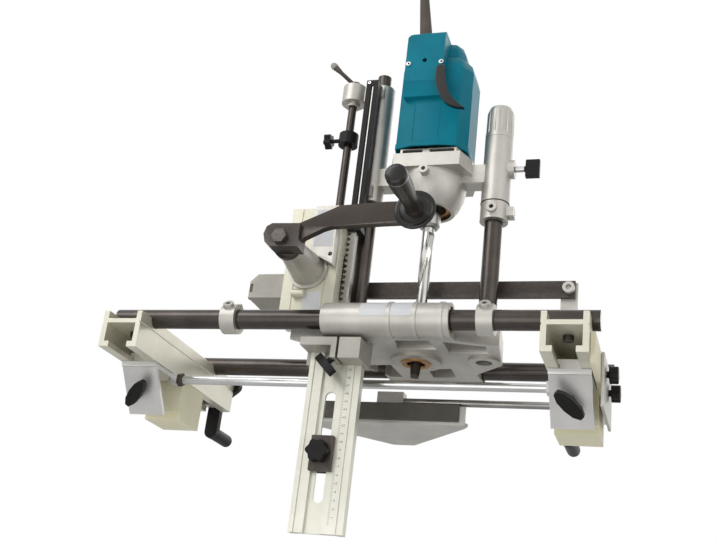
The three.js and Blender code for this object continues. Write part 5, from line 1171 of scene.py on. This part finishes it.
@dataclass
class Head:
    """The head casting with its rack, tower and depth stop."""

    bench: Bench
    coats: tuple[Coat, ...] = (
        Coat(("head_casting",), Finishes.CASTING, 0.9 * MM, 3),
        Coat(("rack_bar",), Finishes.STEEL, 0.2 * MM),
        Coat(("rack_cover",), Finishes.MOULDED),
        Coat(("tower_cap",), Finishes.CASTING, 0.7 * MM),
        Coat(("tower_wing",), Finishes.MOULDED, 1.6 * MM, 3),
        Coat(("depth_rod",), Finishes.COLUMN, 0.8 * MM),
        Coat(("depth_collar",), Finishes.MOULDED, 0.8 * MM),
        Coat(("depth_knob",), Finishes.MOULDED, 1.6 * MM, 3),
        Coat(("clamp_lever",), Finishes.LEVER, 0.8 * MM, 3),
    )
    ring_steps: int = 72
    clamp_tip: float = 5.4 * MM
    clamp_tip_steps: tuple[int, int] = (32, 20)
    clamp_stretch: float = 1.35
    clamp_inset: float = 0.6 * MM
    # These size the bright steel strip on the rack cover's front, a painted highlight; the seat depth also
    # places the cover screw.
    highlight_inset: float = 9.6 * MM
    highlight_width: float = 1.6 * MM
    highlight_rise: float = 0.15 * MM
    cover_seat: float = 1.2 * MM
    highlight_foot: float = 14.0 * MM
    highlight_top: float = 12.0 * MM
    highlight_edge: float = 0.2 * MM
    cover_screw: float = 2.4 * MM
    cover_screw_height: float = 1.8 * MM
    cover_screw_x: float = 4.6 * MM
    cover_screw_drop: float = 5.0 * MM
    rim_height: float = 10.8 * MM
    rim_sill: float = 2.6 * MM
    # Where the near-black sheets of painted shade stand behind the rim's vent windows.
    vent_left: tuple[float, float] = (-35.8 * MM, -8.2 * MM)
    vent_right: tuple[float, float] = (2.2 * MM, 35.8 * MM)
    shade_sheet_front: float = -36.2 * MM
    shade_sheet_thickness: float = 1.0 * MM
    tower_foot: float = 252.0 * MM
    # Size of the near-black ring of painted shadow at the tower's foot.
    gap_width: float = 1.2 * MM
    gap_rise: float = 0.35 * MM
    gap_depth: float = 2.0 * MM
    stud_start: float = 10.3 * MM
    stud_length: float = 12.0 * MM
    stud_bore: float = 2.0 * MM
    stud_radius: float = 4.3 * MM
    stud_steps: int = 32
    mouth_rise: float = 28.5 * MM
    mouth_height: float = 3.5 * MM
    mouth_bore: float = 21.0 * MM
    mouth_radius: float = 29.0 * MM
    mouth_edge: float = 0.6 * MM

    def build(self) -> None:
        """Carries the head over."""
        self.bench.dress(self.coats)
        self._clamp_tip()
        self._cover_highlight_and_screw()
        self._vent_shade_sheets()
        self._tower_gap()
        self._wing_stud()
        self._mouth_ring()

    def _mouth_ring(self) -> None:
        """Sets the brown ring in the bell's mouth, round the spindle."""
        low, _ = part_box("spindle")
        ring = self.bench.ring(
            self.mouth_bore, self.mouth_radius, low.z + self.mouth_rise, self.mouth_height,
            ORIGIN, Axis.Z, self.ring_steps,
        )
        self.bench.add("bell_mouth_ring", ring, Finishes.BRONZE, "head", self.mouth_edge)

    def _clamp_tip(self) -> None:
        """Caps the clamp lever's stem with its pale knob."""
        low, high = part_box("clamp_lever")
        radius = self.clamp_tip
        across = (low.y + high.y) / 2.0
        slope = Axis.Z.value - Axis.X.value
        out = slope.normalized()
        middle = Vector((low.x, across, high.z)) - out * radius - slope * self.clamp_inset
        shape = bmesh.new()
        around, along = self.clamp_tip_steps
        bmesh.ops.create_uvsphere(shape, u_segments=around, v_segments=along, radius=radius)
        stretch = facing(ORIGIN, out) @ Matrix.Diagonal((1.0, 1.0, self.clamp_stretch, 1.0))
        shape = self.bench.moved(shape, Matrix.Translation(middle) @ stretch)
        self.bench.add("clamp_lever_tip", shape, Finishes.PALE_TIP, "clamp_lever")

    def _cover_highlight_and_screw(self) -> None:
        """Lays a bright steel strip on the rack cover's front as a painted highlight for its glossy upright
        line, and sets its top screw.
        """
        low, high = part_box("rack_cover")
        left = low.x + self.highlight_inset
        highlight_strip = self.bench.plate(
            (left, low.y - self.highlight_rise, low.z + self.highlight_foot),
            (left + self.highlight_width, low.y + self.cover_seat, high.z - self.highlight_top),
        )
        # Painted highlight: a bright steel strip where the cover's front shows a glossy line.
        self.bench.add("cover_painted_highlight", highlight_strip, Finishes.STEEL, "head", self.highlight_edge)
        seat = (low.x + self.cover_screw_x, low.y + self.cover_seat, high.z - self.cover_screw_drop)
        place = facing(seat, -Axis.Y.value)
        head, floor = self.bench.socket_screw(self.cover_screw, self.cover_screw_height, place)
        self.bench.add("cover_screw", head, Finishes.SCREW, "head")
        # The screw's socket gets a near-black disc of painted shade.
        self.bench.add("cover_screw_socket_shade", floor, Finishes.SHADOW_GAP, "head")

    def _vent_shade_sheets(self) -> None:
        """Stands near-black sheets behind the rim's front windows, as painted shade inside the housing."""
        low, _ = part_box("motor_housing")
        back = self.shade_sheet_front + self.shade_sheet_thickness
        for name, left, right in (("left", *self.vent_left), ("right", *self.vent_right)):
            shade_plate = self.bench.plate(
                (left, self.shade_sheet_front, low.z - self.rim_height), (right, back, low.z - self.rim_sill),
            )
            self.bench.add(f"{name}_vent_shade_sheet", shade_plate, Finishes.SHADOW_GAP, "head")

    def _tower_gap(self) -> None:
        """Paints the shadow in the gap between the tower and the collar at its foot, as a thin near-black
        ring.
        """
        cap_low, cap_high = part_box("tower_cap")
        middle = ((cap_low.x + cap_high.x) / 2.0, (cap_low.y + cap_high.y) / 2.0, 0.0)
        radius = (cap_high.x - cap_low.x) / 2.0 + self.gap_rise
        ring = self.bench.ring(
            radius - self.gap_depth, radius, self.tower_foot - self.gap_width / 2.0, self.gap_width,
            middle, Axis.Z, self.ring_steps,
        )
        self.bench.add("tower_gap_shadow", ring, Finishes.SHADOW_GAP, "head")

    def _wing_stud(self) -> None:
        """Sleeves the tower screw's stud in bright metal."""
        low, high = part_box("tower_wing")
        middle = (0.0, (low.y + high.y) / 2.0, (low.z + high.z) / 2.0)
        sleeve = self.bench.ring(
            self.stud_bore, self.stud_radius, low.x + self.stud_start, self.stud_length,
            middle, Axis.X, self.stud_steps,
        )
        self.bench.add("tower_stud", sleeve, Finishes.SCREW, "tower_wing")


@dataclass
class Markings:
    """Bare labels where the machine has stickers."""

    bench: Bench
    thickness: float = 0.2 * MM
    housing_radius: float = 21.05 * MM
    label_from: float = -6.0
    label_turn: float = 57.0
    label_left: float = -44.5 * MM
    label_length: float = 66.0 * MM
    label_strips: int = 20
    upper_face: float = -75.0 * MM
    upper_left: float = -133.0 * MM
    upper_right: float = -107.0 * MM
    upper_bottom: float = 162.0 * MM
    upper_drop: float = 6.0 * MM
    lower_face: float = -60.0 * MM
    lower_left: float = -144.0 * MM
    lower_right: float = -120.0 * MM
    lower_bottom: float = 78.0 * MM
    lower_top: float = 104.0 * MM
    edge: float = 0.05 * MM

    def build(self) -> None:
        """Lays each label on its face."""
        self._housing_label()
        self._case_labels()

    def _housing_label(self) -> None:
        """Bends a bare label round the front bearing housing."""
        centre_y, centre_z = bar_centre()
        radius = self.housing_radius
        shape = bmesh.new()
        bmesh.ops.create_grid(shape, x_segments=self.label_strips, y_segments=1, size=0.5)
        for vert in shape.verts:
            share = vert.co.x + 0.5
            angle = math.radians(self.label_from + self.label_turn * share)
            x = self.label_left + self.label_length * (vert.co.y + 0.5)
            vert.co = Vector((x, centre_y - radius * math.cos(angle), centre_z + radius * math.sin(angle)))
        bmesh.ops.recalc_face_normals(shape, faces=shape.faces)
        bmesh.ops.solidify(shape, geom=shape.faces[:], thickness=self.thickness)
        bmesh.ops.recalc_face_normals(shape, faces=shape.faces)
        self.bench.add("housing_label", shape, Finishes.LABEL, "carriage")

    def _case_labels(self) -> None:
        """Puts two bare labels on the gear case's front."""
        _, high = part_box("pedestal")
        upper = self.bench.plate(
            (self.upper_left, self.upper_face - self.thickness, self.upper_bottom),
            (self.upper_right, self.upper_face, high.z - self.upper_drop),
        )
        self.bench.add("upper_label", upper, Finishes.LABEL, "carriage", self.edge)
        lower = self.bench.plate(
            (self.lower_left, self.lower_face - self.thickness, self.lower_bottom),
            (self.lower_right, self.lower_face, self.lower_top),
        )
        self.bench.add("lower_label", lower, Finishes.LABEL, "carriage", self.edge)


@dataclass(frozen=True)
class Lamp:
    """One soft area lamp.

    Args:
        name: its name.
        place: where it hangs, in metres.
        watts: its power.
        size: the side of its square, in metres.
    """

    name: str
    place: Point
    watts: float
    size: float


@dataclass
class Studio:
    """Camera, floor, lamps and world."""

    position: Point = (0.346, -1.236, -0.3784)
    azimuth: float = 19.59
    elevation: float = -22.315
    roll: float = 6.975
    lens: float = 52.47
    floor_height: float = -0.75
    floor_lift: float = 0.3
    target: Point = (-0.06, 0.0, 0.15)
    sensor_width: float = 36.0
    clip_start: float = 0.01
    clip_end: float = 50.0
    floor_size: float = 6.0
    floor_colour: tuple[float, ...] = (0.9, 0.9, 0.9, 1.0)
    floor_roughness: float = 0.8
    soft_strength: float = 0.42
    white_strength: float = 1.0
    lamps: tuple[Lamp, ...] = (
        Lamp("key_lamp", (-1.1, -1.5, 1.5), 13.0, 1.2),
        Lamp("fill_lamp", (1.6, -1.3, 0.4), 5.0, 1.6),
        Lamp("low_lamp", (-0.2, -1.3, -0.5), 6.0, 1.2),
        Lamp("back_lamp", (0.4, 1.6, 1.3), 7.0, 1.4),
    )

    def build(self) -> None:
        """Sets the studio up."""
        self._camera()
        self._floor()
        self._world()
        for lamp in self.lamps:
            self._lamp(lamp)
        bpy.context.scene.view_settings.view_transform = "Standard"

    def _camera(self) -> None:
        """Stands the camera where the photograph was taken from."""
        data = bpy.data.cameras.new("photo_camera")
        data.sensor_width = self.sensor_width
        data.lens = self.lens
        data.clip_start = self.clip_start
        data.clip_end = self.clip_end
        camera = bpy.data.objects.new("photo_camera", data)
        bpy.context.scene.collection.objects.link(camera)
        turn = Matrix.Rotation(math.radians(self.azimuth), 4, "Z")
        tip = Matrix.Rotation(math.pi / 2.0 - math.radians(self.elevation), 4, "X")
        lean = Matrix.Rotation(math.radians(self.roll), 4, "Z")
        camera.matrix_world = Matrix.Translation(self.position) @ turn @ tip @ lean
        bpy.context.scene.camera = camera

    def _floor(self) -> None:
        """Lays a pale floor below the machine and the camera."""
        shape = bmesh.new()
        bmesh.ops.create_grid(shape, x_segments=1, y_segments=1, size=self.floor_size)
        bmesh.ops.translate(shape, vec=(0.0, 0.0, self.floor_height), verts=shape.verts)
        mesh = bpy.data.meshes.new("studio_floor")
        shape.to_mesh(mesh)
        shape.free()
        material = bpy.data.materials.new("studio_floor")
        material.use_nodes = True
        tree = material.node_tree
        shader = tree.nodes["Principled BSDF"]
        shader.inputs["Base Color"].default_value = self.floor_colour
        shader.inputs["Roughness"].default_value = self.floor_roughness
        path = tree.nodes.new("ShaderNodeLightPath")
        lift = tree.nodes.new("ShaderNodeMath")
        lift.operation = "MULTIPLY"
        lift.inputs[1].default_value = self.floor_lift
        shader.inputs["Emission Color"].default_value = PLAIN_WHITE
        tree.links.new(path.outputs["Is Camera Ray"], lift.inputs[0])
        tree.links.new(lift.outputs["Value"], shader.inputs["Emission Strength"])
        mesh.materials.append(material)
        floor = bpy.data.objects.new("studio_floor", mesh)
        bpy.context.scene.collection.objects.link(floor)

    def _world(self) -> None:
        """Makes an even world, plain white where the camera or a gloss ray meets it."""
        world = bpy.data.worlds.new("studio_world")
        world.use_nodes = True
        tree = world.node_tree
        tree.nodes.clear()
        path = tree.nodes.new("ShaderNodeLightPath").outputs
        bare = self._larger(tree, path["Is Camera Ray"], path["Is Transmission Ray"])
        seen = self._larger(tree, bare, path["Is Glossy Ray"])
        mix = tree.nodes.new("ShaderNodeMixShader")
        out = tree.nodes.new("ShaderNodeOutputWorld")
        tree.links.new(seen, mix.inputs["Fac"])
        for slot, strength in enumerate((self.soft_strength, self.white_strength), start=1):
            light = tree.nodes.new("ShaderNodeBackground")
            light.inputs["Color"].default_value = PLAIN_WHITE
            light.inputs["Strength"].default_value = strength
            tree.links.new(light.outputs["Background"], mix.inputs[slot])
        tree.links.new(mix.outputs["Shader"], out.inputs["Surface"])
        bpy.context.scene.world = world

    @staticmethod
    def _larger(
        tree: bpy.types.NodeTree, first: bpy.types.NodeSocket, second: bpy.types.NodeSocket,
    ) -> bpy.types.NodeSocket:
        """Takes the larger of two values.

        Args:
            tree: the world's tree.
            first: one value's socket.
            second: the other value's socket.

        Returns:
            The larger value's socket.
        """
        node = tree.nodes.new("ShaderNodeMath")
        node.operation = "MAXIMUM"
        tree.links.new(first, node.inputs[0])
        tree.links.new(second, node.inputs[1])
        return node.outputs["Value"]

    def _lamp(self, lamp: Lamp) -> None:
        """Hangs an area lamp that faces the machine.

        Args:
            lamp: the lamp.
        """
        data = bpy.data.lights.new(lamp.name, "AREA")
        data.energy = lamp.watts
        data.size = lamp.size
        light = bpy.data.objects.new(lamp.name, data)
        bpy.context.scene.collection.objects.link(light)
        direction = Vector(self.target) - Vector(lamp.place)
        turn = direction.to_track_quat("-Z", "Y").to_matrix().to_4x4()
        light.matrix_world = Matrix.Translation(lamp.place) @ turn


def main() -> None:
    """Builds the studio and every sub-assembly, in order."""
    logging.basicConfig(level=logging.INFO, format="%(message)s")
    bench = Bench(MaterialShop())
    Studio().build()
    assemblies = (
        ClampFrame(bench), Jaws(bench), Carriage(bench), Gauge(bench), PlungeLever(bench),
        Motor(bench), Head(bench), Markings(bench),
    )
    for assembly in assemblies:
        before = len(bench.made)
        assembly.build()
        log.info("%s: %s", type(assembly).__name__, ", ".join(bench.made[before:]))


if __name__ == "__main__":
    main()
